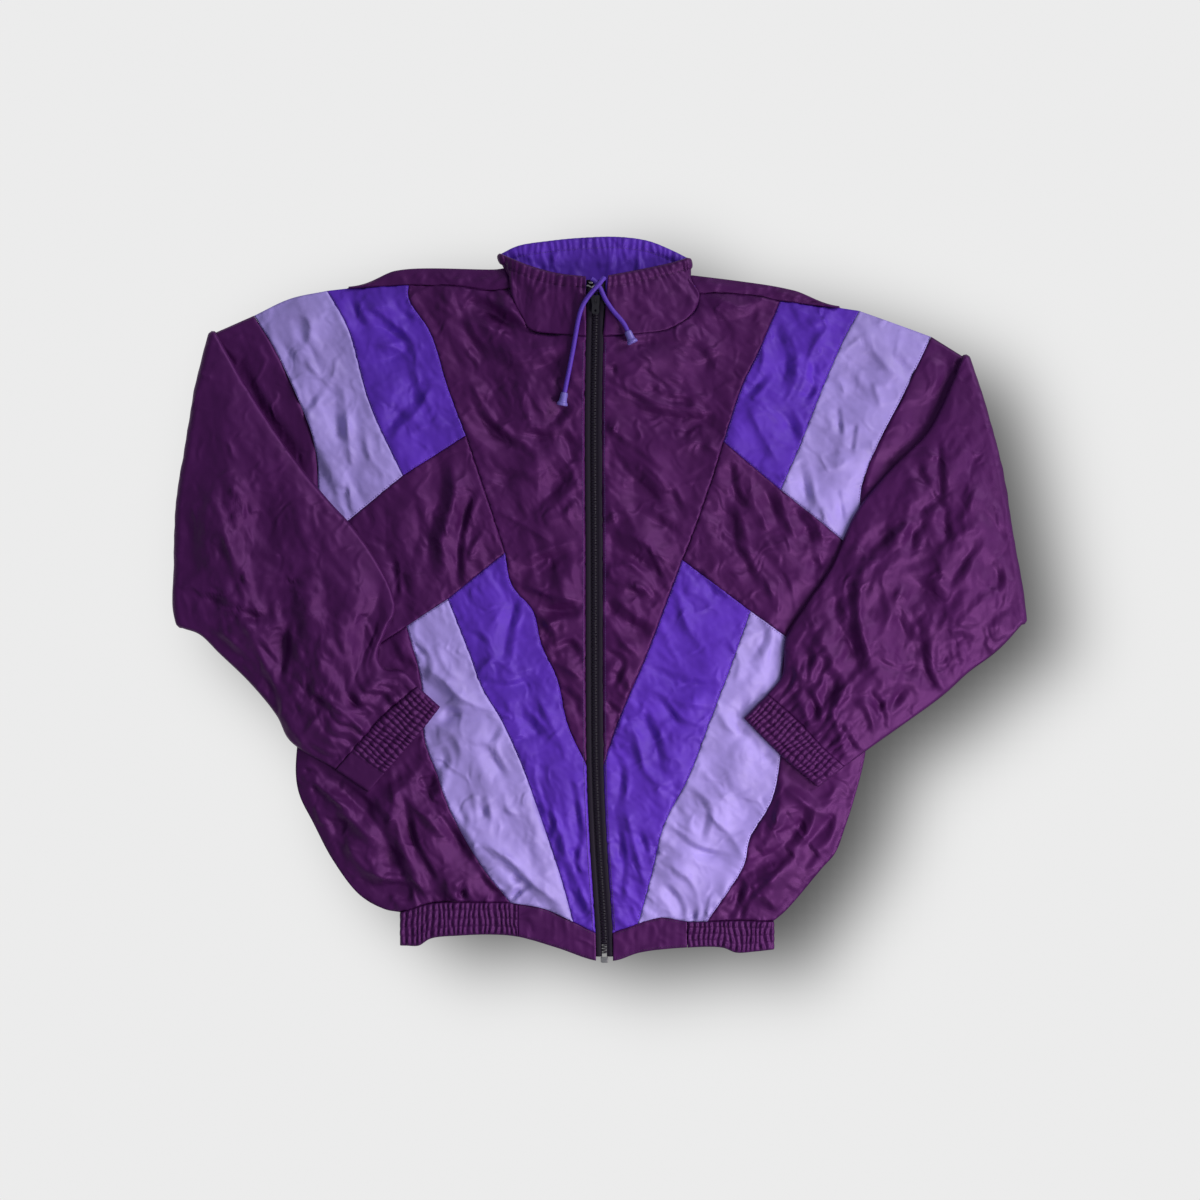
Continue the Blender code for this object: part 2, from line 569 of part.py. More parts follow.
def plan_mesh(loop, step):
    """Triangles that fill a closed outline, with evenly spread points inside it."""
    low, high = loop.min(axis=0), loop.max(axis=0)
    inside = []
    row_height = step * math.sqrt(3) / 2
    for j, y in enumerate(np.arange(low[1] + row_height, high[1], row_height)):
        for x in np.arange(low[0] + (0.5 * step if j % 2 else 0.0), high[0], step):
            inside.append((x, y))
    inside = np.array(inside).reshape(-1, 2)
    if len(inside):
        inside = inside[depth(inside, loop) > 0.55 * step]
    points = np.vstack([loop, inside])
    rim = list(range(len(loop)))
    found = delaunay_2d_cdt([tuple(p) for p in points], [], [rim], 1, 1e-5)
    plan = np.array([tuple(p) for p in found[0]])
    triangles = []
    for face in found[2]:
        a, b, c = (plan[k] for k in face)
        turn = (b[0] - a[0]) * (c[1] - a[1]) - (b[1] - a[1]) * (c[0] - a[0])
        triangles.append(list(face) if turn > 0 else list(face)[::-1])
    return plan, triangles


def open_edges(triangles):
    """Directed edges that only one triangle has."""
    edges = {(t[k], t[(k + 1) % 3]) for t in triangles for k in range(3)}
    return [edge for edge in edges if (edge[1], edge[0]) not in edges]


def panel(name, material, loop, mid_height, thickness=CLOTH):
    """A flat-cut piece of the front, standing at the height that mid_height gives."""
    plan, triangles = plan_mesh(inset(loop, SEAM_GAP / 2), PANEL_STEP)
    z = mid_height(plan)
    count = len(plan)
    points = np.vstack([np.c_[plan, z + thickness / 2], np.c_[plan, z - thickness / 2]])
    faces = list(triangles)
    faces += [[k + count for k in reversed(t)] for t in triangles]
    faces += [[b, a, a + count, b + count] for a, b in sorted(open_edges(triangles))]
    return add_mesh(name, material, points, faces)


# The pieces

def make_fronts():
    for name, (material, seams) in PANELS.items():
        panel(name, material, loop_of(seams, PANEL_STEP), front_mid)


def strip_rows(side):
    """Where the back turns over the shoulder: its outer edge, and the seam where it ends in front."""
    seams = ["violet_top_strip_right", "v_top_right"]
    if side == "left":
        seams = ["v_top_left", "violet_top_strip_left"]
    ends = [spaced(SEAMS[name], PANEL_STEP) for name in seams]
    seam = np.vstack([ends[0], ends[1][1:]])
    rim = at_shares(smooth_line(OUTLINES[f"strip_{side}"]), np.linspace(0, 1, len(seam)))
    run = np.gradient(rim, axis=0)
    run /= np.linalg.norm(run, axis=1, keepdims=True)
    inward = np.stack([run[:, 1], -run[:, 0]], axis=1)
    return rim, seam + np.array([0.0, SEAM_GAP / 2]), inward


def make_back():
    """One flat piece whose shoulder edges turn over into a strip at the front."""
    nose = RIM_Z / 2 + CLOTH / 4
    strips = {side: strip_rows(side) for side in ("right", "left")}

    def line(name):
        return spaced(SEAMS[name], PANEL_STEP)

    neck = spaced(OUTLINES["neckline"], PANEL_STEP)
    hem = spaced(OUTLINES["hem_back_top"], PANEL_STEP)
    wraps = {side: rim + inward * nose for side, (rim, _, inward) in strips.items()}
    loop = np.vstack([
        line("side_low_right")[::-1][:-1], line("side_high_right")[::-1][:-1],
        line("armhole_low_right")[::-1][:-1], line("armhole_top_right")[::-1][:-1],
        line("lavender_top_right")[:-1], line("violet_top_out_right")[:-1],
        wraps["right"], neck, wraps["left"],
        line("violet_top_out_left")[1:], line("lavender_top_left")[1:],
        line("armhole_top_left")[1:], line("armhole_low_left")[1:],
        line("side_high_left")[1:], line("side_low_left")[1:-1], hem[::-1][:-1],
    ])
    loop = inset(loop, SEAM_GAP / 2)
    plan, triangles = plan_mesh(loop, 2.2 * PANEL_STEP)
    count = len(plan)
    outer = [np.r_[p, 0.0] for p in plan]
    inner = [np.r_[p, CLOTH] for p in plan]
    under = [list(reversed(t)) for t in triangles]
    for rim, seam, inward in strips.values():
        top = front_mid(seam) + CLOTH / 2
        crest = np.maximum(front_mid(rim + inward * nose) + CLOTH / 2, RIM_Z + CLOTH / 2)
        levels = [(rim + inward * 0.25 * nose, crest * 0.2, 0.75 * CLOTH, 0.6 * CLOTH),
                  (rim, crest * 0.5, CLOTH, 0.0),
                  (rim + inward * 0.25 * nose, crest * 0.8, 0.75 * CLOTH, -0.6 * CLOTH),
                  (rim + inward * nose, crest, 0.0, -CLOTH),
                  (seam, top, 0.0, -CLOTH)]
        foot = [int(np.argmin(((plan - p) ** 2).sum(axis=1))) for p in rim + inward * nose]
        previous = foot
        for place, height, inset_in, drop in levels:
            first = len(outer)
            for k in range(len(rim)):
                outer.append(np.r_[place[k], height[k]])
                inner.append(np.r_[place[k] + inward[k] * inset_in, height[k] + drop])
            row = list(range(first, first + len(rim)))
            for k in range(len(rim) - 1):
                quad = [previous[k + 1], previous[k], row[k], row[k + 1]]
                under.append([quad[0], quad[1], quad[2]])
                under.append([quad[0], quad[2], quad[3]])
            previous = row
    total = len(outer)
    faces = list(under) + [[k + total for k in reversed(t)] for t in under]
    faces += [[b, a, a + total, b + total] for a, b in sorted(open_edges(under))]
    return add_mesh("back", "plum", np.vstack([outer, inner]), faces)


ACROSS = (0.0, 0.03, 0.12, 0.25, 0.4, 0.55, 0.7, 0.82, 0.92, 0.97, 1.0)


def sleeve_frames(side):
    """The middle of the sleeve's tube and its half heights, station by station from armhole to cuff."""
    across = np.array(ACROSS)
    hole = np.vstack([smooth_line(SEAMS[f"armhole_{part}_{side}"]) for part in ("top", "low")])
    out_x = -1.0 if side == "right" else 1.0
    hole = at_shares(hole, across) + np.array([out_x * ARMHOLE_CLEAR, 0.0])
    edge = at_shares(smooth_line(OUTLINES[f"fold_{side}"]), across)
    run = edge[-1] - edge[0]
    outward = np.array([-run[1], run[0]]) / np.linalg.norm(run)
    outward *= np.sign(outward[0]) * out_x
    bend = edge - outward * (FOLD_RHO + FOLD_HALF)
    arch = np.sin(math.pi * across) ** 0.6
    up, out3 = np.array([0, 0, 1.0]), np.r_[outward, 0.0]
    frames = []
    for share in (0.0, 0.35, 0.7, 1.0):
        plan = hole + share * (bend - hole)
        top = (front_mid(plan) + CLOTH / 2) * (1 - share) + 2 * FOLD_HALF * share
        half = top / 2
        frames.append((np.c_[plan, half], -up, half, half))
    for turn in (0.2, 0.5, 0.8):
        angle = math.pi * turn
        mid = np.c_[bend, np.full(len(bend), FOLD_HALF + FOLD_RHO)]
        mid = mid + FOLD_RHO * (math.sin(angle) * out3 - math.cos(angle) * up)
        normal = math.sin(angle) * out3 - math.cos(angle) * up
        half = np.full(len(bend), FOLD_HALF)
        frames.append((mid, normal, half, half))
    seam = at_shares(smooth_line(OUTLINES[f"cuff_seam_{side}"]), across)
    over = smooth_line([tuple(bend[0])] + OUTLINES[f"over_{side}"][1:-1] + [tuple(seam[0])])
    under = smooth_line([tuple(bend[-1])] + OUTLINES[f"under_{side}"][1:-1] + [tuple(seam[-1])])
    stations = np.r_[0.0, 0.04, np.linspace(0.1, 0.94, 9), 1.0]
    over, under = at_shares(over, stations), at_shares(under, stations)
    for i, u in enumerate(stations):
        plan = (1 - u) * bend + u * seam + np.outer(1 - across, over[i]) + np.outer(across, under[i])
        corner = np.outer(1 - across, (1 - u) * bend[0] + u * seam[0])
        plan = plan - corner - np.outer(across, (1 - u) * bend[-1] + u * seam[-1])
        near_fold = ease(1.0 - u / 0.16)
        lift = sleeve_lift(plan, side)
        lift = lift + (FOLD_LIFT - lift) * near_fold
        front = CLOTH + TUBE_GAP / 2
        front = front + (FOLD_HALF - front) * near_fold
        puff = SLEEVE_PUFF * ease(u / 0.12) * ease((1.0 - u) / 0.1) + 0.8
        crest = puff * arch + folds(plan, SLEEVE_FOLDS[side]) * arch * ease((1 - u) / 0.12)
        crest = np.maximum(crest, 0.3 * arch)
        back = front + crest * (1 - near_fold)
        frames.append((np.c_[plan, lift + front], up, back, np.full(len(plan), front)))
    return frames


def tube_loops(frames, thickness):
    """Outer and inner closed loops of points round each frame of a flattened tube."""
    outer, inner = [], []
    for mid, normal, back, front in frames:
        sides = []
        for inward in (0.0, thickness):
            over = mid + normal * (back - inward)[:, None]
            under = mid - normal * (front - inward)[:, None]
            first = mid[0] + inward * unit(mid[1] - mid[0])
            last = mid[-1] + inward * unit(mid[-2] - mid[-1])
            sides.append(np.vstack([first, over[1:-1], last, under[1:-1][::-1]]))
        outer.append(sides[0])
        inner.append(sides[1])
    return outer, inner


def unit(vector):
    return vector / np.linalg.norm(vector)


def make_sleeve(side):
    outer, inner = tube_loops(sleeve_frames(side), CLOTH)
    return wall(f"sleeve_{side}", "plum", outer, inner, looped=True)


def make_cuff(side):
    """A flat elastic tube whose cloth is gathered into waves from seam to opening."""
    waves = GATHERS[f"cuff_{side}"]
    shares = np.linspace(0, 1, 2 * waves + 1)
    seam = at_shares(smooth_line(OUTLINES[f"cuff_seam_{side}"]), shares)
    end = at_shares(smooth_line(OUTLINES[f"cuff_end_{side}"]), shares)
    length = np.linalg.norm(end - seam, axis=1).mean()
    ripple = np.arange(len(shares)) % 2
    edge = ease(np.minimum(shares, 1 - shares) / 0.03)
    frames = []
    for u in (2 * SEAM_GAP / length, 0.5, 1.0):
        plan = seam + u * (end - seam)
        front = CUFF_WALL + CUFF_GAP / 2
        mid = np.c_[plan, sleeve_lift(plan, side) + front + CUFF_WAVE * 0.5]
        back = front + CUFF_WAVE * ripple * edge
        frames.append((mid, np.array([0, 0, 1.0]), back, np.full(len(plan), front)))
    outer, inner = [], []
    for mid, normal, back, front in frames:
        rounds = []
        for level, inward in ((0, 0.0), (1, CUFF_WALL)):
            high = back if level == 0 else np.full(len(back), CUFF_GAP / 2)
            low = front if level == 0 else np.full(len(back), CUFF_GAP / 2)
            over = mid + normal * high[:, None]
            under = mid - normal * low[:, None]
            first = mid[0] + inward * unit(mid[2] - mid[0])
            last = mid[-1] + inward * unit(mid[-3] - mid[-1])
            rounds.append(np.vstack([first, over[1:-1], last, under[1:-1][::-1]]))
        outer.append(rounds[0])
        inner.append(rounds[1])
    return wall(f"cuff_{side}", "plum", outer, inner, looped=True)


def band_edges(x, top_line, end_line):
    """Upper and lower edge of the waistband at each x."""
    top_y = np.interp(x, top_line[:, 0], top_line[:, 1]) - 2 * SEAM_GAP
    return top_y, np.interp(x, end_line[:, 0], end_line[:, 1])


def make_hem_flat(side):
    """The smooth piece of waistband between the zip and the elastic."""
    out = -1.0 if side == "right" else 1.0
    outer, inner = [], []
    for share in np.linspace(0, 1, 6):
        near = float(zip_x(ZIP_HEM_Y)) + out * ZIP_HALF
        x = near + share * (HEM_FLAT_END[side] - near)
        top_y, end_y = band_edges(x, HEM_TOP_LINE, smooth_line(OUTLINES["hem_end"]))
        y = np.linspace(top_y, end_y, 3)
        x = x + (1 - share) * (zip_x(y) - zip_x(ZIP_HEM_Y))
        outer.append(np.c_[x, y, np.full(3, HEM_Z + BAND_WALL / 2)])
        inner.append(np.c_[x, y, np.full(3, HEM_Z - BAND_WALL / 2)])
    return wall(f"hem_flat_{side}", "plum", outer, inner)


def make_hem_elastic():
    """The gathered waistband: front right, round the side, across the back and up to the front left."""
    low_x, high_x = HEM_ENDS_X
    radius = (HEM_Z - BAND_WALL / 2) / 2
    low_turn, high_turn = low_x + radius, high_x - radius
    middle = (HEM_Z + BAND_WALL / 2) / 2
    stations = []

    def gathered(start_x, finish_x, count):
        for k in range(2 * count + 1):
            stations.append((start_x + (finish_x - start_x) * k / (2 * count), HEM_Z, 0.0, 1.0, k % 2))

    def turned(x, way):
        for turn in (0.25, 0.5, 0.75):
            out, up = way * math.sin(math.pi * turn), -way * math.cos(math.pi * turn)
            stations.append((x + radius * out, middle + radius * up, out, up, 0))

    gathered(HEM_FLAT_END["right"] - 2 * SEAM_GAP, low_turn, GATHERS["hem_right"])
    turned(low_turn, -1.0)
    for x in np.linspace(low_turn, high_turn, 12):
        stations.append((x, BAND_WALL / 2, 0.0, -1.0, 0))
    turned(high_turn, 1.0)
    gathered(high_turn, HEM_FLAT_END["left"] + 2 * SEAM_GAP, GATHERS["hem_left"])

    outer, inner = [], []
    for x, z, out, up, ripple in stations:
        front = float(ease((z - BAND_WALL / 2) / (HEM_Z - BAND_WALL / 2)))
        inside_x = min(max(x, low_x), high_x)
        front_y = band_edges(inside_x, HEM_TOP_LINE, smooth_line(OUTLINES["hem_end"]))
        back_y = band_edges(inside_x, smooth_line(OUTLINES["hem_back_top"]),
                            smooth_line(OUTLINES["hem_back_end"]))
        y = np.linspace(back_y[0] + (front_y[0] - back_y[0]) * front,
                        back_y[1] + (front_y[1] - back_y[1]) * front, 3)
        reach = BAND_WALL / 2 + BAND_WAVE * ripple * np.array([1.0, 0.8, 1.0])
        outer.append(np.c_[x + out * reach, y, z + up * reach])
        inner.append(np.c_[np.full(3, x - out * BAND_WALL / 2), y, np.full(3, z - up * BAND_WALL / 2)])
    return wall("hem_elastic", "plum", outer, inner)


def beside(line, gap):
    """The line moved sideways to its left by a gap."""
    run = np.gradient(line, axis=0)
    run /= np.linalg.norm(run, axis=1, keepdims=True)
    return line + gap * np.stack([-run[:, 1], run[:, 0]], axis=1)


def collar_stations(gathered_front):
    """Base point, top point, normal, radius and gather of each station round the collar.

    It runs from the zip's right edge to the right corner, round the back of the neck to the
    left corner, and up to the zip's left edge. Only the part that shows is gathered.
    """
    back_base = OUTLINES["collar_back_base"]
    right_base = beside(smooth_line(SEAMS["collar_base_right"][::-1] + [back_base[0]]), -COLLAR_CLEAR)
    left_base = beside(smooth_line([back_base[-1]] + SEAMS["collar_base_left"][::-1]), -COLLAR_CLEAR)
    stretches = [
        (right_base, OUTLINES["collar_front_top_right"], GATHERS["collar_front"] * gathered_front, 1.0),
        (smooth_line(back_base), OUTLINES["collar_back_top"],
         GATHERS["collar_back"] * (not gathered_front), -1.0),
        (left_base, OUTLINES["collar_front_top_left"], GATHERS["collar_front"] * gathered_front, 1.0),
    ]
    knots = np.arange(COLLAR_KNOTS + 1)
    stations = []
    for number, (base_line, top_points, gathers, facing) in enumerate(stretches):
        base = at_shares(base_line, knots / COLLAR_KNOTS)
        top = at_shares(smooth_line(top_points), knots / COLLAR_KNOTS)
        radius = np.full(len(knots), COLLAR_RADIUS)
        if facing > 0:
            radius = np.maximum(radius, front_mid(base) + CLOTH / 2 - COLLAR_RADIUS)
        if number:
            across = top[0] - base[0]
            side = -1.0 if number == 1 else 1.0
            out = side * np.array([across[1], -across[0]]) / np.linalg.norm(across)
            for turn in (0.25, 0.5, 0.75):
                angle = math.pi * (turn if number == 1 else 1.0 - turn)
                normal = np.r_[out * math.sin(angle), math.cos(angle)]
                stations.append((base[0], top[0], normal, COLLAR_RADIUS, 0.0))
        count = 3 * gathers if gathers else COLLAR_KNOTS
        for k in range(count + 1):
            knot = COLLAR_KNOTS * k / count
            foot, head = (np.array([np.interp(knot, knots, line[:, 0]), np.interp(knot, knots, line[:, 1])])
                          for line in (base, top))
            wave = 0.5 - 0.5 * math.cos(2 * math.pi * k / 3) if gathers else 0.0
            stations.append((foot, head, np.array([0, 0, facing]), np.interp(knot, knots, radius), wave))
    return stations


def make_collar_layer(name, material, nested, gathered_front):
    """One layer of the collar: a wall whose showing face is gathered along the drawstring's tunnel."""
    row_shares = (0.0, 0.45, 0.82, 1.0)
    row_waves = (0.0, 0.2, 1.0, 0.6)
    outer, inner = [], []
    for base, top, normal, radius, wave in collar_stations(gathered_front):
        lean = COLLAR_LEAN if normal[2] == 1.0 else 0.0
        near, far = [], []
        for share, ripple in zip(row_shares, row_waves):
            plan = np.r_[base + share * (top - base), COLLAR_RADIUS]
            reach = radius - nested + lean * share
            swell = COLLAR_WAVE * ripple * wave
            near.append(plan + normal * (reach + swell * gathered_front))
            far.append(plan + normal * (reach - CLOTH - swell * (not gathered_front)))
        outer.append(near)
        inner.append(far)
    wall(name, material, outer, inner)


def make_collar():
    """The plum outer collar and the violet inner one, which lies 0.3 mm inside it all round."""
    make_collar_layer("collar_outer", "plum", 0.0, True)
    make_collar_layer("collar_inner", "violet", CLOTH + SEAM_GAP, False)


def zip_level(y):
    return front_mid(np.c_[zip_x(np.atleast_1d(y)), np.atleast_1d(y)])


def make_zip():
    y = np.linspace(ZIP_TOP_Y, ZIP_END_Y, ZIP_STATIONS)
    centre, level = zip_x(y), zip_level(y)
    for name, side in (("right", -1), ("left", 1)):
        near = centre + side * (COIL_HALF + SEAM_GAP)
        far = centre + side * (ZIP_HALF - SEAM_GAP)
        rows = [np.stack([np.c_[near, y, level + lift], np.c_[far, y, level + lift]], axis=1)
                for lift in (TAPE_WALL / 2, -TAPE_WALL / 2)]
        wall(f"zip_tape_{name}", "zip_black", rows[0], rows[1])
    y = np.linspace(ZIP_TOP_Y - 2, ZIP_END_Y + 3, ZIP_STATIONS)
    centre, level = zip_x(y), zip_level(y)
    crown = [(-COIL_HALF, 0.3), (-0.5 * COIL_HALF, 0.9), (0.5 * COIL_HALF, 0.9), (COIL_HALF, 0.3)]
    over = np.stack([np.c_[centre + x, y, level + z] for x, z in crown], axis=1)
    under = np.stack([np.c_[centre + x, y, level - 0.6 + 0 * y] for x, _ in crown], axis=1)
    wall("zip_coil", "zip_black", over, under)


def loft(name, material, rings):
    """A closed solid through matching rings of points, with flat ends."""
    rings = np.asarray(rings)
    stations, rows = rings.shape[:2]
    faces = grid_faces(stations, rows, 0, False, True)
    faces.append(list(range(rows)))
    faces.append([(stations - 1) * rows + k for k in reversed(range(rows))])
    return add_mesh(name, material, rings.reshape(-1, 3), faces)


def combine(target, other, operation):
    """A Boolean of one solid with a hidden helper."""
    other.hide_render = True
    other.display_type = "WIRE"
    step = target.modifiers.new(operation.lower(), "BOOLEAN")
    step.operation = operation
    step.object = other


def slider_height():
    """Underside and top of the slider's body, over the crown of the coil."""
    level = float(zip_level(PULL_AXIS_Y)[0])
    return level + SLIDER_FOOT, level + SLIDER_TOP


def make_slider():
    foot, top = slider_height()
    x = float(zip_x(PULL_AXIS_Y))
    inner, roof, bevel = COIL_HALF + SEAM_GAP, top - SLIDER_PLATE, SLIDER_BEVEL
    rings = []
    for dy, half in SLIDER_PLAN:
        y = PULL_AXIS_Y + dy
        outline = [(-half, foot), (-half, top - bevel), (-half + bevel, top), (half - bevel, top),
                   (half, top - bevel), (half, foot), (inner, foot), (inner, roof), (-inner, roof),
                   (-inner, foot)]
        rings.append([(x + dx, y, z) for dx, z in outline])
    body = loft("zip_slider", "dark_metal", rings)
    hoop = []
    span, bar = BRIDGE_INSIDE + BRIDGE_BAR, BRIDGE_BAR
    for dx in (-BRIDGE_HALF, BRIDGE_HALF):
        outline = [(-span, -BRIDGE_SINK), (-span, BRIDGE_CLEAR + 0.5 * bar),
                   (-BRIDGE_INSIDE, BRIDGE_CLEAR + bar), (BRIDGE_INSIDE, BRIDGE_CLEAR + bar),
                   (span, BRIDGE_CLEAR + 0.5 * bar), (span, -BRIDGE_SINK),
                   (BRIDGE_INSIDE, -BRIDGE_SINK), (BRIDGE_INSIDE, BRIDGE_CLEAR),
                   (-BRIDGE_INSIDE, BRIDGE_CLEAR), (-BRIDGE_INSIDE, -BRIDGE_SINK)]
        hoop.append([(x + dx, PULL_AXIS_Y + dy, top + dz) for dy, dz in outline])
    combine(body, loft("slider_bridge_helper", "dark_metal", hoop), "UNION")


def make_pull():
    """The tab that hangs on the slider's bridge; it swings about its own top bar."""
    _, top = slider_height()
    centre = np.array([float(zip_x(PULL_AXIS_Y)), PULL_AXIS_Y, top + SEAM_GAP + PULL_WALL / 2])
    right_edge = [(half, dy) for dy, half in PULL_PLAN]
    outline = right_edge + [(-half, dy) for half, dy in reversed(right_edge)]

    def prism(name, points, reach):
        rings = [[(px, py, z) for px, py in points] for z in (-reach, reach)]
        return loft(name, "dark_metal", np.array(rings) + centre)

    tab = prism("zip_pull", outline, PULL_WALL / 2)
    bar_edge = -PULL_PLAN[0][0]
    eye = [(PULL_EYE_HALF, bar_edge), (PULL_EYE_HALF, -PULL_EYE_END),
           (-PULL_EYE_HALF, -PULL_EYE_END), (-PULL_EYE_HALF, bar_edge)]
    combine(tab, prism("pull_eye_helper", eye, 2 * PULL_WALL), "DIFFERENCE")
    angles = np.linspace(0, 2 * math.pi, 12, endpoint=False)
    ring = [(PULL_HOLE * math.cos(a), PULL_HOLE_Y + PULL_HOLE * math.sin(a)) for a in angles]
    combine(tab, prism("pull_hole_helper", ring, 2 * PULL_WALL), "DIFFERENCE")


def make_box():
    """The metal stop at the lower end of the zip."""
    x, z = float(zip_x(ZIP_END_Y)), float(zip_level(ZIP_END_Y)[0])
    rings = []
    for y, half, reach in BOX_RINGS:
        ring = [(-half, -reach), (half, -reach), (half, 0.4 * reach), (0.7 * half, reach),
                (-0.7 * half, reach), (-half, 0.4 * reach)]
        rings.append([(x + px, ZIP_END_Y + y, z + pz) for px, pz in ring])
    loft("zip_box", "metal", rings)


def make_drawstring(name, route):
    """A cord along its route, and the stopper that it ends in."""
    line = smooth_line(route)
    length = np.linalg.norm(np.diff(line, axis=0), axis=1).sum()
    points = at_shares(line, np.linspace(0, 1, int(round(length / (2.2 * CORD_RADIUS))) + 1))
    curve = bpy.data.curves.new(f"drawstring_{name}", "CURVE")
    curve.dimensions = "3D"
    curve.bevel_depth = CORD_RADIUS * MM
    curve.bevel_resolution = 2
    curve.use_fill_caps = True
    spline = curve.splines.new("POLY")
    spline.points.add(len(points) - 1)
    for slot, point in zip(spline.points, points):
        slot.co = (*(point * MM), 1.0)
    curve.materials.append(MATERIALS["violet"])
    bpy.context.scene.collection.objects.link(bpy.data.objects.new(f"drawstring_{name}", curve))
    start = points[-1]
    ahead = unit(start - points[-2])
    across = unit(np.cross(ahead, (0, 0, 1.0)))
    lift = np.cross(across, ahead)
    rings = []
    for along, radius in STOPPER_PROFILE:
        centre = start + ahead * (SEAM_GAP + along)
        rings.append([centre + radius * (math.cos(a) * across + math.sin(a) * lift)
                      for a in np.linspace(0, 2 * math.pi, 12, endpoint=False)])
    loft(f"stopper_{name}", "lavender", rings)


def build_materials():
    made = {}
    for name, colour in COLOURS.items():
        material = bpy.data.materials.new(name)
        material.use_nodes = True
        shader = material.node_tree.nodes["Principled BSDF"]
        shader.inputs["Base Color"].default_value = (*colour, 1.0)
        shader.inputs["Roughness"].default_value = ROUGHNESS[name]
        shader.inputs["Metallic"].default_value = 1.0 if name in METALS else 0.0
        made[name] = material
    return made


clear_scene()
MATERIALS = build_materials()
make_back()
make_fronts()
for wearer_side in ("right", "left"):
    make_sleeve(wearer_side)
    make_cuff(wearer_side)
    make_hem_flat(wearer_side)
make_hem_elastic()
make_collar()
make_zip()
make_slider()
make_pull()
make_box()
for cord_name, cord_route in CORD_ROUTES.items():
    make_drawstring(cord_name, cord_route)
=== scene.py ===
"""The look of a nylon track jacket, laid flat with both sleeves folded in over its front.

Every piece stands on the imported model's own places. Tables and sizes are in millimetres, in the
model's frame: +X to the wearer's left, +Y up to the collar and +Z up off the floor. Meshes are made
in metres. "Right" and "left" are the wearer's.
"""

import math

import bpy
import numpy as np
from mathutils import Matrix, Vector
from mathutils.bvhtree import BVHTree
from mathutils.geometry import delaunay_2d_cdt


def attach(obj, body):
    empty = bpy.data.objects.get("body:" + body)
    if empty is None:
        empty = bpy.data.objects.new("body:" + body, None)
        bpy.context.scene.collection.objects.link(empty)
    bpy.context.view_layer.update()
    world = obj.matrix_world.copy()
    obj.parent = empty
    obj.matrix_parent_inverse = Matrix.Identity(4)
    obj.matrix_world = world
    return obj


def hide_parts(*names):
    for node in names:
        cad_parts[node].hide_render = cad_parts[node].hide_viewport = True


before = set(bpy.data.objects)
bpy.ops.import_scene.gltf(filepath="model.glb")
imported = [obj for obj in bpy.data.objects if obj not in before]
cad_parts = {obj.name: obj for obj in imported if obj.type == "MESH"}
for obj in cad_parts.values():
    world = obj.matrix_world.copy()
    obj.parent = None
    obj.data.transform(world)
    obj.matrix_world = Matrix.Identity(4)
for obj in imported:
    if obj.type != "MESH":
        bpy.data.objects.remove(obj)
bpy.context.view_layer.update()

MM = 0.001
JACKET = "jacket"
SIDES = (("right", -1.0), ("left", 1.0))
UP = np.array([0.0, 0.0, 1.0])


def detail(full):
    """The amount for a full render, given back unchanged."""
    return full


# Cloth
SHELL = 0.5
ELASTIC_SHELL = 0.8
GRID = detail(2.1)
RIM_STEP = detail(2.1)
BACK_GRID = 4 * GRID
SEAM_DIP = 0.7
SEAM_ROUND = 1.1
EDGE_CALM = 11.0
RIM_CALM = 16.0
ZIP_CALM = 9.0
COVER_MARGIN = 2.0
COVER_FADE = 14.0
RIM_DROP = 2.0
RIM_DROP_WIDTH = 12.0
LAYER_GAP = 0.3
SEAM_GAP = 0.3

# Heights above the floor: the back plate's, and those of the front layer's middle
BACK_Z = 0.1
RIM_Z = 3.2
OPEN_Z = 7.0
PRESSED_Z = 4.4
HEM_Z = 4.6
LOWEST_Z = 2.4
RIM_WIDTH = 34.0
PRESS_REACH = 8.0
PRESS_MARGIN = 16.0
HEM_PINCH = 34.0
NECK_RISE = 13.0
NECK_SPREAD = 70.0
NECK_START_Y = 165.0
NECK_END_Y = 262.0

# Zip
ZIP_HALF = 8.5
COIL_HALF = 2.9
ZIP_LINE = [(-5, 318), (-7.5, 200), (-7, 50), (-6, -165), (-3, -240), (3, -333), (3.5, -358)]
ZIP_TOP_Y = 318.0
NECK_Y = 262.0
V_TIP_Y = -165.0
ZIP_HEM_Y = -332.5
ZIP_END_Y = -356.0
CALM_BESIDE_ZIP = 26.0
TOOTH_PITCH = 1.7
# Across a tooth: place, thickness and how far it lies below the coil's top
TOOTH_PROFILE = [(-1.0, 0.25, 0.55), (-0.93, 0.75, 0.3), (-0.35, 1.0, 0.0), (0.35, 1.0, 0.0),
                 (0.93, 0.75, 0.3), (1.0, 0.25, 0.55)]
TOP_STOP = [(-15.4, 311.7), (-12.4, 312.0), (-9.4, 310.6), (-6.4, 312.4), (-5.0, 315.0), (-7.0, 316.4),
            (-9.6, 314.6), (-12.6, 315.4)]

# Sleeves
CLOTH = 1.2
FOLD_HALF = 2.2
FOLD_RHO = 4.0
TUBE_GAP = 0.6
SLEEVE_PUFF = 8.0
SLEEVE_LIFT = 6.2
FOLD_LIFT = 8.0
FLOOR_LIFT = 0.6
DRAPE_LENGTH = 36.0
DRAPE_MARGIN = 4.0
# The least height of the sleeve root's top, so that its troughs stay off the floor
ROOT_LOWEST = 0.9
# Share of the width that rounds off each edge, and how much the points crowd towards the edges
SLEEVE_EDGE = 0.015
EDGE_CROWD = 0.35
GATHER_RISE = 2.8

# Cuffs and waistband
CUFF_HALF = 2.0
BAND_HALF = 0.9
HEM_FLAT_END = {"right": -83.0, "left": 86.0}
HEM_ENDS_X = (-200.0, 172.0)
GATHER_PITCH = 5.2
CUFF_RUFFLE = 2.6
HEM_RUFFLE = 2.5
ELASTIC_ROWS = detail(30)

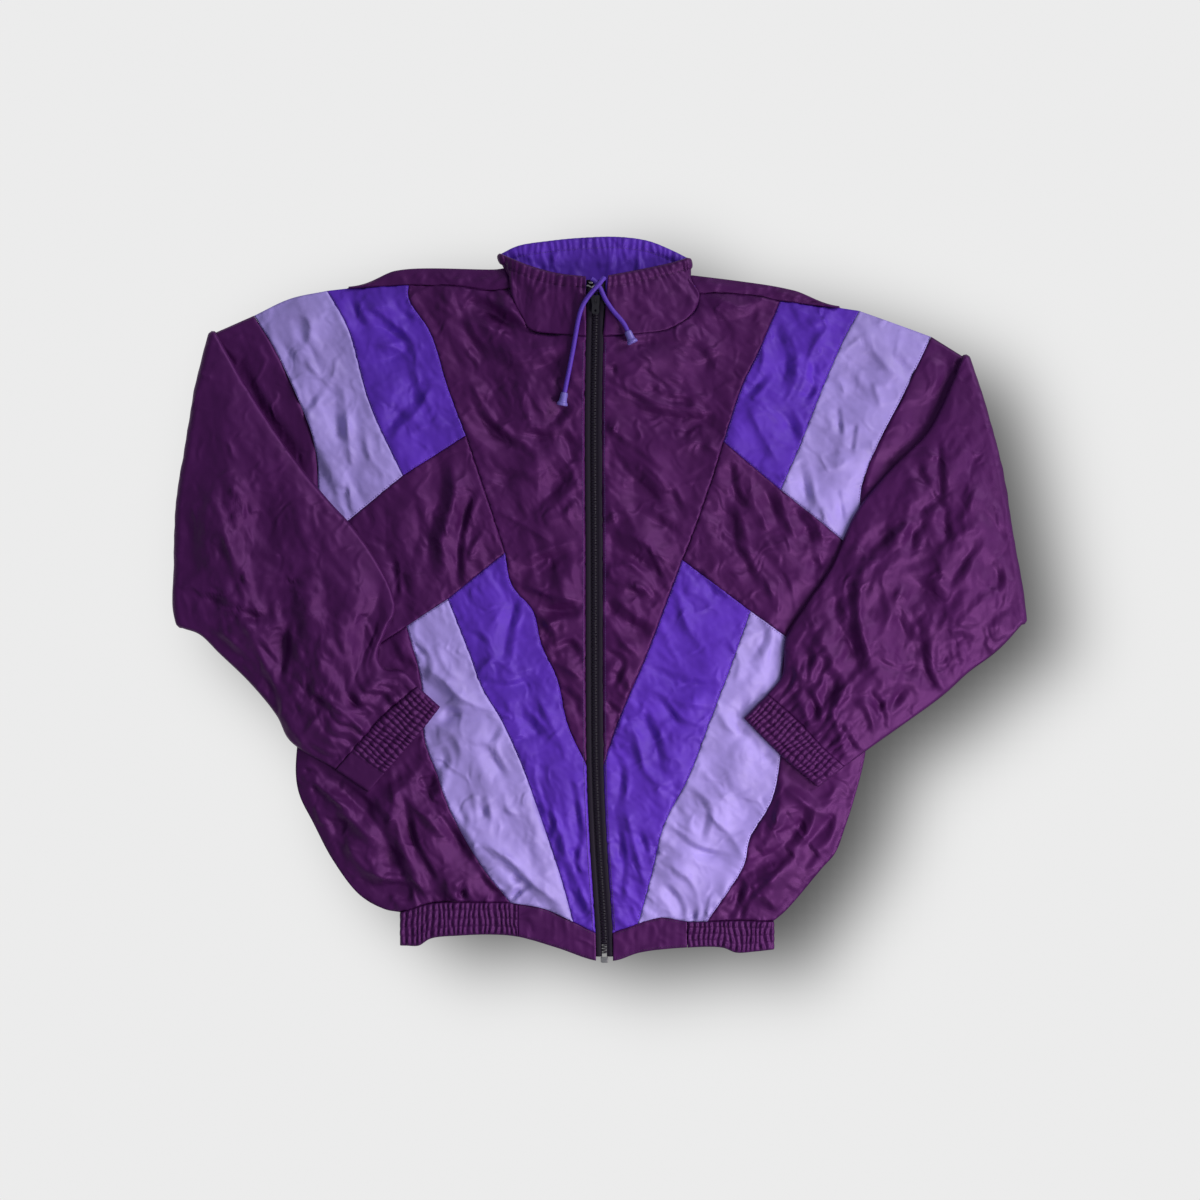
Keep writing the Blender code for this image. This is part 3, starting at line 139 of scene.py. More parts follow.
# Collar
COLLAR_RADIUS = 4.0
COLLAR_LEAN = 2.0
COLLAR_LAYER = 1.5
COLLAR_SHELL = 0.35
COLLAR_BASE_GAP = 0.2
COLLAR_PITCH = 6.4
COLLAR_TURN = 3.0
# How far the back half may reach down from the collar's middle without meeting the floor
COLLAR_LOWEST = COLLAR_RADIUS - 0.15

CORD_RADIUS = 2.3
STOPPER_PROFILE = [(0.0, 2.9), (1.0, 3.5), (6.0, 3.8), (9.5, 4.3), (10.5, 5.2), (12.6, 5.4), (13.2, 4.6)]
CORD_ROUTES = {
    "long": [
        (3.5, 319.5, 27.0), (1.0, 316.4, 28.4), (-2.0, 312.6, 29.2), (-6.0, 308.4, 28.8),
        (-10.0, 303.8, 27.8),
        (-14.5, 298.0, 26.4), (-18.0, 292.0, 25.4), (-21.0, 284.0, 24.6), (-23.4, 273.5, 23.9),
        (-25.4, 262.0, 23.0), (-27.5, 250.0, 22.0), (-29.8, 238.0, 20.8), (-32.0, 227.0, 19.6),
        (-34.2, 216.5, 18.6), (-36.2, 206.5, 17.8),
    ],
    "short": [
        (-9.5, 318.5, 24.6), (-7.0, 316.8, 24.5), (-4.5, 314.3, 24.4), (-2.2, 311.4, 24.4),
        (-0.2, 308.0, 24.3),
        (1.3, 304.6, 24.2), (2.8, 301.2, 24.2), (5.0, 297.0, 24.2), (7.8, 292.6, 24.2), (11.0, 288.0, 24.2),
        (14.6, 283.6, 24.2), (18.2, 279.6, 24.4), (21.6, 275.4, 24.6), (24.2, 271.2, 24.7),
        (26.2, 266.8, 24.8),
    ],
}

# Where the pieces meet. Each seam runs smoothly through its points.
SEAMS = {
    "v_top_right": [(-192, 315), (-140, 313), (-110, 309), (-91, 311)],
    "violet_top_strip_right": [(-252, 311.5), (-192, 315)],
    "violet_top_out_right": [(-274, 309), (-252, 311.5)],
    "lavender_top_right": [(-347, 284), (-311, 301), (-274, 309)],
    "collar_base_right": [(-91, 311), (-78, 280), (-70, 269), (-35, 264), (-13.9, 262)],
    "block_in_right": [(-192, 315), (-192, 301), (-170, 266), (-153, 212), (-135, 164)],
    "block_mid_right": [(-274, 309), (-253, 272), (-231, 196), (-198, 124)],
    "violet_foot_right": [(-198, 124), (-135, 164)],
    "lavender_foot_right": [(-284, 54), (-253, 79), (-198, 124)],
    "armhole_top_right": [(-347, 284), (-325, 249), (-298, 191), (-287, 161), (-283, 124), (-284, 54)],
    "armhole_low_right": [(-284, 54), (-281, 20), (-276, -10)],
    "v_chest_right": [(-135, 164), (-115, 105), (-96, 47)],
    "v_lower_right": [(-96, 47), (-89, 15), (-68, -11), (-59, -46), (-44, -78), (-33, -125), (-14.5, -165)],
    "band_foot_violet_right": [(-153, 1), (-96, 47)],
    "band_foot_lavender_right": [(-194, -26), (-153, 1)],
    "band_foot_side_right": [(-295, -92), (-246, -60), (-194, -26)],
    "side_high_right": [(-276, -10), (-291, -50), (-295, -92)],
    "side_low_right": [(-295, -92), (-303, -140), (-305, -175), (-301, -196), (-288, -222),
                       (-268, -260), (-241, -295), (-216, -309), (-200, -312)],
    "violet_lavender_right": [(-153, 1), (-132, -52), (-119, -87), (-100, -119), (-81, -160),
                              (-60, -218), (-40, -278), (-28, -321)],
    "lavender_side_right": [(-194, -26), (-180, -78), (-178, -110), (-176, -140), (-164, -173),
                            (-148, -215), (-119, -266), (-91, -302)],
    "hem_violet_right": [(-28, -321), (-5.5, -332.5)],
    "hem_lavender_right": [(-91, -302), (-58, -308), (-28, -321)],
    "hem_side_right": [(-200, -312), (-170, -303), (-116, -302), (-91, -302)],
    "v_top_left": [(98, 306), (140, 305), (179, 299)],
    "violet_top_strip_left": [(179, 299), (219, 294), (238, 292)],
    "violet_top_out_left": [(238, 292), (258, 289)],
    "lavender_top_left": [(258, 289), (300, 274), (330, 263)],
    "collar_base_left": [(3.1, 262), (50, 266), (68, 270), (93, 288), (98, 306)],
    "block_in_left": [(179, 299), (158, 250), (140, 212), (122, 158)],
    "block_mid_left": [(258, 289), (242, 260), (220, 209), (201, 161), (179, 110)],
    "violet_foot_left": [(122, 158), (179, 110)],
    "lavender_foot_left": [(179, 110), (241, 60), (265, 40)],
    "armhole_top_left": [(330, 263), (319, 241), (300, 202), (274, 151), (259, 105), (262, 70), (265, 40)],
    "armhole_low_left": [(265, 40), (268, 10), (268, -15)],
    "v_chest_left": [(122, 158), (108, 113), (91, 65), (81, 40)],
    "v_lower_left": [(81, 40), (66, 0), (46, -53), (16, -124), (2.5, -165)],
    "band_foot_violet_left": [(81, 40), (149, -11)],
    "band_foot_lavender_left": [(149, -11), (185, -37)],
    "band_foot_side_left": [(185, -37), (229, -70), (270, -99)],
    "side_high_left": [(268, -15), (272, -55), (270, -99)],
    "side_low_left": [(270, -99), (267, -130), (263, -160), (253, -199), (244, -227), (234, -253),
                      (220, -269), (196, -298), (183, -312), (172, -321)],
    "violet_lavender_left": [(149, -11), (129, -67), (108, -122), (88, -175), (62, -226),
                             (51, -271), (37, -323)],
    "lavender_side_left": [(185, -37), (180, -80), (180, -120), (179, -157), (170, -200),
                           (148, -238), (142, -265), (106, -321)],
    "hem_violet_left": [(11.5, -332.5), (37, -323)],
    "hem_lavender_left": [(37, -323), (60, -317), (86, -321), (106, -321)],
    "hem_side_left": [(106, -321), (139, -320), (172, -321)],
}

# The silhouette where no two front pieces meet
OUTLINES = {
    "strip_right": [(-250, 317), (-240, 320), (-196, 330), (-105, 330), (-98, 331)],
    "strip_left": [(92, 324), (140, 318), (179, 312), (236, 298)],
    "fold_right": [(-391, 268), (-405, 212), (-413, 164), (-424, 94), (-426, 33), (-427, -8), (-423, -27)],
    "fold_left": [(367, 245), (384, 193), (402, 123), (411, 65), (421, 10), (425, -23)],
    "over_right": [(-391, 268), (-355, 215), (-308, 144), (-272, 99), (-248, 73), (-226, 42), (-209, 8),
                   (-206, -11), (-215, -32), (-223, -55), (-216, -69), (-196, -72), (-183, -87)],
    "over_left": [(367, 245), (352, 221), (325, 167), (293, 135), (255, 88), (230, 33), (204, -5),
                  (185, -37), (181, -75), (166, -95)],
    "under_right": [(-423, -27), (-400, -34), (-381, -53), (-351, -82), (-323, -116), (-310, -140),
                    (-264, -169)],
    "under_left": [(425, -23), (395, -51), (367, -72), (344, -93), (309, -119), (274, -143), (242, -166)],
    "cuff_seam_right": [(-183, -87), (-213, -112), (-233, -133), (-264, -169)],
    "cuff_seam_left": [(166, -95), (197, -122), (221, -148), (242, -166)],
    "cuff_end_right": [(-161, -107), (-183, -135), (-216, -173), (-232, -191)],
    "cuff_end_left": [(143, -118), (181, -156), (216, -186)],
    "collar_front_top_right": [(-15, 321), (-44, 325), (-75, 334), (-100, 345)],
    "collar_back_top": [(-100, 346), (-83, 354), (-52, 359), (-21, 362), (17, 363), (47, 359), (70, 350),
                        (86, 342)],
    "collar_front_top_left": [(86, 341), (70, 336), (40, 329), (7, 322)],
    "neckline": [(-94, 318), (-86, 314), (-60, 303), (0, 296), (55, 300), (84, 311), (92, 316)],
    "collar_back_base": [(-88, 322), (-82, 315), (-60, 303.6), (0, 296.6), (55, 300.6), (80, 313),
                         (86, 318)],
    "hem_end": [(-195, -345), (-182, -345), (-170, -338), (-141, -335), (-109, -334), (-84, -336),
                (-45, -347), (-6, -360), (14, -360), (39, -352), (86, -347), (121, -347), (135, -352),
                (153, -351), (171, -349)],
    "hem_back_end": [(-195, -344.5), (-182, -344), (-169, -337), (-141, -333.5), (-109, -332.5),
                     (-84, -334), (-45, -340), (0, -344), (60, -345), (121, -345.5), (135, -350),
                     (153, -349.5), (171, -348.5)],
    "hem_back_top": [(-200, -312), (-100, -310), (0, -313), (100, -318), (172, -321)],
}

# Front pieces: the seams round each, anticlockwise; a minus sign runs one backwards
PANELS = {
    "front_centre_right": ("plum", ["-v_top_right", "block_in_right", "v_chest_right", "v_lower_right",
                                    "zip_right", "-collar_base_right"]),
    "front_centre_left": ("plum", ["-v_top_left", "-collar_base_left", "zip_left", "-v_lower_left",
                                   "-v_chest_left", "-block_in_left"]),
    "shoulder_violet_right": ("violet", ["-violet_top_strip_right", "-violet_top_out_right",
                                         "block_mid_right", "violet_foot_right", "-block_in_right"]),
    "shoulder_violet_left": ("violet", ["block_in_left", "violet_foot_left", "-block_mid_left",
                                        "-violet_top_out_left", "-violet_top_strip_left"]),
    "shoulder_lavender_right": ("lavender", ["-lavender_top_right", "armhole_top_right",
                                             "lavender_foot_right", "-block_mid_right"]),
    "shoulder_lavender_left": ("lavender", ["block_mid_left", "lavender_foot_left",
                                            "-armhole_top_left", "-lavender_top_left"]),
    "chest_band_right": ("plum", ["-violet_foot_right", "-lavender_foot_right", "armhole_low_right",
                                  "side_high_right", "band_foot_side_right", "band_foot_lavender_right",
                                  "band_foot_violet_right", "-v_chest_right"]),
    "chest_band_left": ("plum", ["v_chest_left", "band_foot_violet_left", "band_foot_lavender_left",
                                 "band_foot_side_left", "-side_high_left", "-armhole_low_left",
                                 "-lavender_foot_left", "-violet_foot_left"]),
    "lower_violet_right": ("violet", ["-band_foot_violet_right", "violet_lavender_right",
                                      "hem_violet_right", "zip_low_right", "-v_lower_right"]),
    "lower_violet_left": ("violet", ["v_lower_left", "zip_low_left", "hem_violet_left",
                                     "-violet_lavender_left", "-band_foot_violet_left"]),
    "lower_lavender_right": ("lavender", ["-band_foot_lavender_right", "lavender_side_right",
                                          "hem_lavender_right", "-violet_lavender_right"]),
    "lower_lavender_left": ("lavender", ["violet_lavender_left", "hem_lavender_left",
                                         "-lavender_side_left", "-band_foot_lavender_left"]),
    "lower_side_right": ("plum", ["-band_foot_side_right", "side_low_right", "hem_side_right",
                                  "-lavender_side_right"]),
    "lower_side_left": ("plum", ["lavender_side_left", "hem_side_left", "-side_low_left",
                                 "-band_foot_side_left"]),
}

# The largest folds of the front: from (x0, y0) to (x1, y1), a ridge if it rises and a trough if not
FOLD_COLUMNS = ("x0", "y0", "x1", "y1", "width", "rise")
FRONT_FOLDS = [
    (-92, 300, -62, 150, 20, 4.5),
    (-120, 290, -108, 200, 18, -2.5),
    (-150, 260, -120, 170, 16, 3.0),
    (-60, 120, -30, 20, 18, 3.5),
    (-240, 250, -205, 150, 16, 3.0),
    (-300, 240, -262, 120, 16, 3.5),
    (-182, 100, -186, 20, 14, 4.0),
    (-203, 70, -202, 0, 12, -2.5),
    (-150, 110, -152, 30, 13, 3.5),
    (-120, -30, -60, -170, 17, 3.5),
    (-170, -60, -110, -190, 17, 3.5),
    (-150, -200, -70, -290, 16, 4.0),
    (-270, -190, -180, -285, 18, 7.0),
    (-225, -170, -130, -285, 16, 5.0),
    (-285, -215, -225, -285, 14, -2.5),
    (120, 280, 40, 235, 18, 4.0),
    (160, 220, 110, 110, 16, 3.0),
    (60, 120, 30, 0, 18, 3.5),
    (205, 260, 150, 170, 16, 3.0),
    (290, 230, 220, 90, 16, 3.5),
    (200, 60, 120, 40, 15, 3.0),
    (120, -40, 60, -180, 17, 3.5),
    (165, -70, 120, -200, 17, 3.5),
    (110, -210, 60, -300, 16, 4.0),
    (245, -190, 160, -290, 18, 7.0),
    (215, -170, 140, -260, 15, 5.0),
    (255, -210, 190, -290, 14, -2.5),
]
SLEEVE_FOLDS = {
    "right": [
        (-380, 110, -362, -10, 20, 5.0),
        (-362, -10, -320, -95, 17, 5.0),
        (-313, 20, -316, -85, 12, -3.5),
        (-215, 60, -240, -60, 14, -3.0),
        (-330, 180, -270, 60, 20, 4.0),
        (-400, 20, -330, 0, 13, -3.0),
        (-280, -60, -262, -150, 15, 4.0),
        (-250, 20, -250, -90, 15, 4.5),
    ],
    "left": [
        (385, 120, 350, 0, 20, 5.0),
        (340, 150, 270, 20, 18, 4.0),
        (400, 20, 330, -40, 16, 4.5),
        (330, 60, 300, -60, 13, -3.5),
        (260, 40, 215, -60, 15, 4.0),
        (300, -40, 240, -120, 15, 4.0),
        (370, 60, 395, -10, 13, -3.0),
    ],
}

# Creases: each one's half width, its height, and x and y of the points that it runs through
FRONT_CREASES = [
    (8, -6, -150, 303, -117, 292, -81, 272, -58, 268, -38, 268),
    (7, 4, -163, 296, -137, 278, -117, 273, -89, 260), (5, 4, -109, 296, -91, 286, -73, 274),
    (8, -5, -104, 229, -81, 227, -58, 232, -35, 245), (7, 4, -104, 247, -79, 247, -48, 252),
    (7, -5, -89, 166, -58, 163, -38, 161, -20, 150), (7, -4, -58, 168, -43, 184, -33, 196),
    (6, -5, -132, 204, -117, 178, -94, 158, -66, 140), (6, 3, -104, 178, -89, 163, -68, 156),
    (7, -3, -107, 125, -86, 122, -63, 115), (10, -5, -73, 87, -53, 104, -38, 122, -25, 145),
    (4, 3, -104, 89, -79, 76, -48, 57), (8, 4, -58, 79, -38, 84, -22, 102),
    (8, -5, -94, 23, -68, 33, -43, 43, -19, 51), (5, -3, -86, 13, -58, 2, -20, -10),
    (4, -2.5, -50, 222, -38, 217, -33, 222), (5, 2.5, -135, 222, -124, 207, -117, 191),
    (5, 2, -79, 204, -73, 209, -81, 217, -99, 227), (3, 1.5, -79, 178, -68, 184),
    (10, -3, -155, 263, -140, 237, -117, 217), (6, -3, -142, 286, -135, 268, -112, 237),
    (5, 3, -38, 125, -25, 140), (4, -3.5, 7, 217, 29, 204, 57, 191), (2.5, -1.8, 44, 229, 59, 217, 72, 208),
    (5, -4, 46, 214, 67, 201, 92, 198), (8, -5, 6, 200, 54, 185, 103, 176, 123, 163),
    (7, 3, 6, 212, 41, 196, 85, 186), (7, 3.5, 3, 176, 21, 163, 41, 148, 67, 127),
    (10, -6, 8, 158, 29, 125, 54, 102, 87, 93), (3, 2.5, 34, 143, 54, 125, 80, 97),
    (5, 3, 85, 158, 100, 156, 115, 148), (4, -2.5, 80, 161, 92, 176, 113, 186),
    (7, -3.5, 29, 94, 54, 79, 80, 64), (9, -5, 6, 64, 29, 48, 44, 36, 64, 18),
    (7, 4, 18, 71, 49, 53, 67, 38), (3, -2.5, 44, 53, 54, 33, 62, 20), (6, -4, 8, 23, 29, 13, 49, -8),
    (4, 2.5, 11, 31, 29, 36, 44, 23), (7, 2.5, 92, 252, 103, 250, 113, 237),
    (6, -3, 16, 252, 54, 258, 92, 252), (4, -2, 54, 125, 69, 110, 85, 79),
    (7, 3.5, 100, 303, 120, 298, 141, 291, 169, 306), (8, -3.5, 103, 283, 126, 278, 156, 286),
    (6, -2.5, 87, 258, 105, 242, 103, 227), (4, -3, 6, 229, 16, 231), (4, 3, 6, 171, 16, 168),
    (4, 3, 6, 79, 16, 82), (10, -4.5, -163, 143, -159, 110, -163, 92, -173, 61, -169, 23),
    (5, -5, -127, 110, -138, 79, -143, 48, -142, 20), (5, 3.5, -113, 74, -127, 53, -136, 28),
    (8, 3, -150, 135, -147, 99, -155, 61), (7, -2.5, -186, 99, -181, 74, -188, 41),
    (4, -5, -207, 38, -205, 2), (5, -4, 129, 138, 134, 106, 147, 88), (8, -5, 117, 109, 129, 80, 139, 36),
    (8, -5, 161, 115, 172, 90, 180, 64), (6, 3.5, 147, 112, 158, 87, 166, 68),
    (8, -5, 192, 90, 206, 71, 211, 52), (6, 3, 179, 90, 192, 68, 201, 55),
    (5, -3, 134, 55, 147, 32, 155, 13), (5, 3, 160, 29, 171, 4, 174, -12),
    (6, -4, 207, 45, 220, 32, 235, 45), (4, 2, 184, 29, 192, 7, 195, -12),
    (4, -2, 214, 61, 227, 58, 236, 61), (7, 3.5, -325, 285, -295, 283, -289, 267, -305, 237),
    (8, -4, -266, 211, -264, 177, -256, 148), (4, 3.5, -253, 187, -252, 161, -248, 134),
    (5, -2.5, -279, 214, -292, 194, -302, 181), (5, 2.5, -237, 174, -229, 141, -206, 121),
    (3, -2, -256, 118, -252, 88), (5, 2.5, -295, 240, -279, 221, -269, 211),
    (6, 2, -282, 154, -269, 121, -259, 95), (6, -2, -322, 260, -309, 240, -309, 224),
    (5, -3.5, -252, 303, -236, 274, -219, 273, -196, 257), (4, -3, -229, 287, -206, 270, -191, 257),
    (5, 2.5, -242, 284, -229, 290, -206, 293), (8, -4, -244, 239, -216, 239, -186, 254),
    (6, 2.5, -236, 257, -206, 252, -183, 234), (7, -3.5, -183, 204, -199, 187, -219, 164),
    (5, 3, -169, 214, -183, 187, -196, 174), (4, -2.5, -206, 300, -199, 287, -186, 280),
    (5, 2, -193, 164, -173, 174, -156, 174), (8, -4, 171, 272, 185, 240, 179, 211),
    (6, 3.5, 227, 275, 209, 246, 204, 224, 196, 202), (5, -3, 211, 237, 212, 214, 201, 198),
    (7, -4, 180, 189, 192, 170, 196, 151), (5, 3, 147, 192, 163, 160, 176, 138),
    (5, -3, 136, 198, 150, 208, 168, 229), (5, 2.5, 163, 262, 160, 233, 150, 214),
    (4, 2, 176, 131, 182, 122, 195, 119), (6, 2.5, 192, 291, 204, 275, 233, 281),
    (6, 2.5, 260, 272, 278, 240, 303, 217), (3, -2.5, 236, 192, 239, 163), (3, -2, 253, 176, 249, 147),
    (4, 2, 271, 217, 279, 192), (6, -3.5, 198, 138, 204, 112, 206, 87),
    (4, 2.5, 211, 106, 222, 87, 228, 74), (2.5, -1.8, 236, 109, 243, 77),
    (5, -2, 287, 249, 303, 233, 322, 224), (5, 2, 249, 141, 233, 131, 217, 128),
    (6, -3.5, -85, 2, -94, -36, -98, -61), (6, 3.5, -125, -76, -106, -59, -85, -72, -64, -65),
    (5, -3, -119, -82, -94, -86, -68, -82), (7, 3.5, -68, -82, -52, -120, -31, -162),
    (7, -4, -94, -114, -73, -122, -52, -149), (5, 2, -111, -27, -102, -15, -94, -2),
    (5, 3, -52, -179, -43, -229, -26, -267), (4, -2.5, -71, -179, -60, -213, -50, -250),
    (4, -2.5, -31, -179, -24, -213, -21, -246), (4, -2, -47, -213, -52, -238, -43, -263),
    (4, -2, -136, -32, -123, -36, -111, -48), (5, -3, -193, -36, -174, -63, -180, -80),
    (6, 4.5, -178, -67, -159, -78, -140, -97, -98, -114), (6, -4, -178, -95, -153, -112, -119, -117),
    (5, -3, -102, -124, -111, -145, -96, -179), (6, 2.5, -165, -44, -153, -69, -136, -82),
    (6, 2.5, -153, -128, -140, -149, -144, -170),
    (5, 4, -126, -245, -121, -243, -111, -246, -94, -257, -70, -280, -44, -301),
    (3, 2.5, -124, -257, -127, -247, -124, -242), (5, -3, -111, -253, -92, -266, -68, -286),
    (2.5, -3.5, -92, -302, -84, -294, -72, -284), (3, -3, -90, -272, -74, -284),
    (7, 3, -129, -187, -123, -215, -126, -231), (6, 2.5, -113, -193, -109, -215, -111, -231),
    (5, -2.5, -121, -195, -116, -219), (5, 2.5, -97, -193, -92, -209, -76, -215),
    (6, -3, -162, -146, -157, -160, -163, -170), (5, -2.5, -141, -205, -135, -229),
    (8, 3, -137, -138, -113, -142, -97, -162), (4, -2.5, -92, -142, -76, -138, -68, -136),
    (4, -3, -64, -203, -48, -223, -38, -257), (4, 2.5, -60, -205, -56, -213, -34, -257),
    (4, -3, -24, -241, -26, -257, -24, -274), (6, -4, -38, -260, -32, -284, -14, -320),
    (6, 3, 75, 15, 83, -19, 100, -48), (4, -3, 94, 32, 117, 6, 140, -4),
    (6, -3.5, 47, -69, 83, -83, 119, -86), (6, 3, 41, -82, 70, -99, 104, -105),
    (4, -3, 56, -95, 79, -122, 100, -128), (6, -3.5, 37, -107, 54, -141, 60, -175),
    (5, 3, 28, -116, 37, -145, 45, -179), (5, -2.5, 7, -145, 20, -170, 16, -208),
    (5, 2.5, 37, -162, 58, -183, 75, -179), (5, 3, 24, -208, 35, -250, 43, -284),
    (4, -2.5, 16, -221, 22, -263, 20, -297), (4, -2.5, 37, -229, 49, -255, 58, -246),
    (6, -3, 155, -15, 163, -36, 148, -61), (5, 2.5, 125, -36, 138, -61, 134, -82),
    (7, -2.5, 138, -90, 144, -124, 125, -149), (5, 2.5, 113, -107, 129, -128, 146, -137),
    (5, -3, 83, -187, 104, -208, 100, -238), (6, 3.5, 100, -208, 125, -229, 142, -255),
    (4, -3, 70, -229, 94, -248, 129, -257), (5, 3, 56, -255, 89, -280, 100, -309),
    (4, -2.5, 58, -280, 75, -297, 83, -318), (3, -3, 94, -307, 92, -323), (3, 3, 109, -295, 105, -322),
    (4, -2.5, 163, -145, 174, -162), (7, 4, -79, 17, -52, 5, -16, 1), (6, 4, -68, -32, -43, -21, -16, -20),
    (6, -4, -73, -6, -47, -11, -16, -10), (5, -3.5, -50, -55, -31, -44, -16, -67),
    (5, -3, -68, -15, -52, -38, -63, -46), (5, 3, -56, -57, -31, -70, -17, -80),
    (5, -2.5, -43, -86, -26, -99, -17, -103), (8, -5, 2, 0, 28, -23, 51, -32),
    (5, 4, 5, -15, 24, -44, 39, -55), (4, -3, 3, -50, 21, -61, 11, -88),
    (5, 2.5, 11, -65, 28, -82, 20, -103), (4, -2.5, 3, -103, 16, -112, 11, -133),
    (7, 4, 3, 27, 28, 15, 54, 11), (13, -8, -277, -168, -252, -191, -232, -215, -214, -241, -203, -262),
    (4, -4.5, -289, -186, -268, -203, -250, -215), (8, 5, -273, -193, -244, -221, -226, -241),
    (3, -2.5, -299, -168, -285, -173), (10, 6, -202, -187, -184, -205, -161, -229, -143, -251),
    (10, -6.5, -175, -203, -153, -225, -133, -257, -111, -282),
    (4, -4.5, -191, -217, -188, -237, -175, -262, -166, -280),
    (7, -6, -244, -276, -222, -286, -200, -288, -181, -283), (7, 4, -236, -266, -216, -276, -200, -278),
    (5, 4.5, -200, -264, -182, -284, -172, -301), (9, -6, -214, -245, -202, -266, -192, -280),
    (4, -3.5, -194, -288, -192, -300), (4, -4, -139, -282, -137, -300),
    (5, 3.5, -147, -280, -143, -288, -149, -300), (4, -4, -121, -276, -111, -287, -95, -298),
    (10, -5, -179, -166, -169, -175, -175, -187, -188, -193), (7, 4, -214, -173, -206, -195, -212, -229),
    (6, 3, -161, -268, -153, -284, -155, -298), (8, -4, -281, -217, -260, -223, -246, -241),
    (7, 3.5, -256, -233, -246, -257, -232, -268), (6, 3, 180, -170, 176, -213, 159, -255),
    (8, -6, 203, -196, 197, -229, 155, -264), (10, -6, 245, -187, 220, -229, 184, -255, 142, -274),
    (8, 5, 199, -250, 163, -284, 136, -307), (7, 3.5, 235, -213, 226, -255, 190, -297),
    (5, -4.5, 142, -276, 134, -305, 125, -318), (5, 3.5, 159, -292, 176, -309, 184, -320),
    (4, -3.5, 167, -280, 146, -297, 138, -318), (6, 3, 184, -187, 222, -213, 243, -208),
    (6, -3, 264, -162, 247, -196, 243, -229),
    (7, -7, -378, 250, -355, 219, -331, 182, -308, 147, -293, 125),
    (8, -7, 357, 236, 345, 213, 319, 168, 292, 139, 269, 114), (6, 3, -338, 207, -315, 177, -290, 161),
    (7, -3, -332, 234, -315, 207, -309, 187), (6, -3, -365, 257, -358, 237, -338, 211),
    (9, -4, 318, 230, 324, 205, 308, 173), (6, -3, 338, 253, 346, 227, 335, 202),
    (5, 3, 329, 246, 335, 224, 322, 195), (6, -4, 273, 144, 290, 136, 306, 125),
    (6, 3, 278, 122, 290, 151, 310, 170),
]
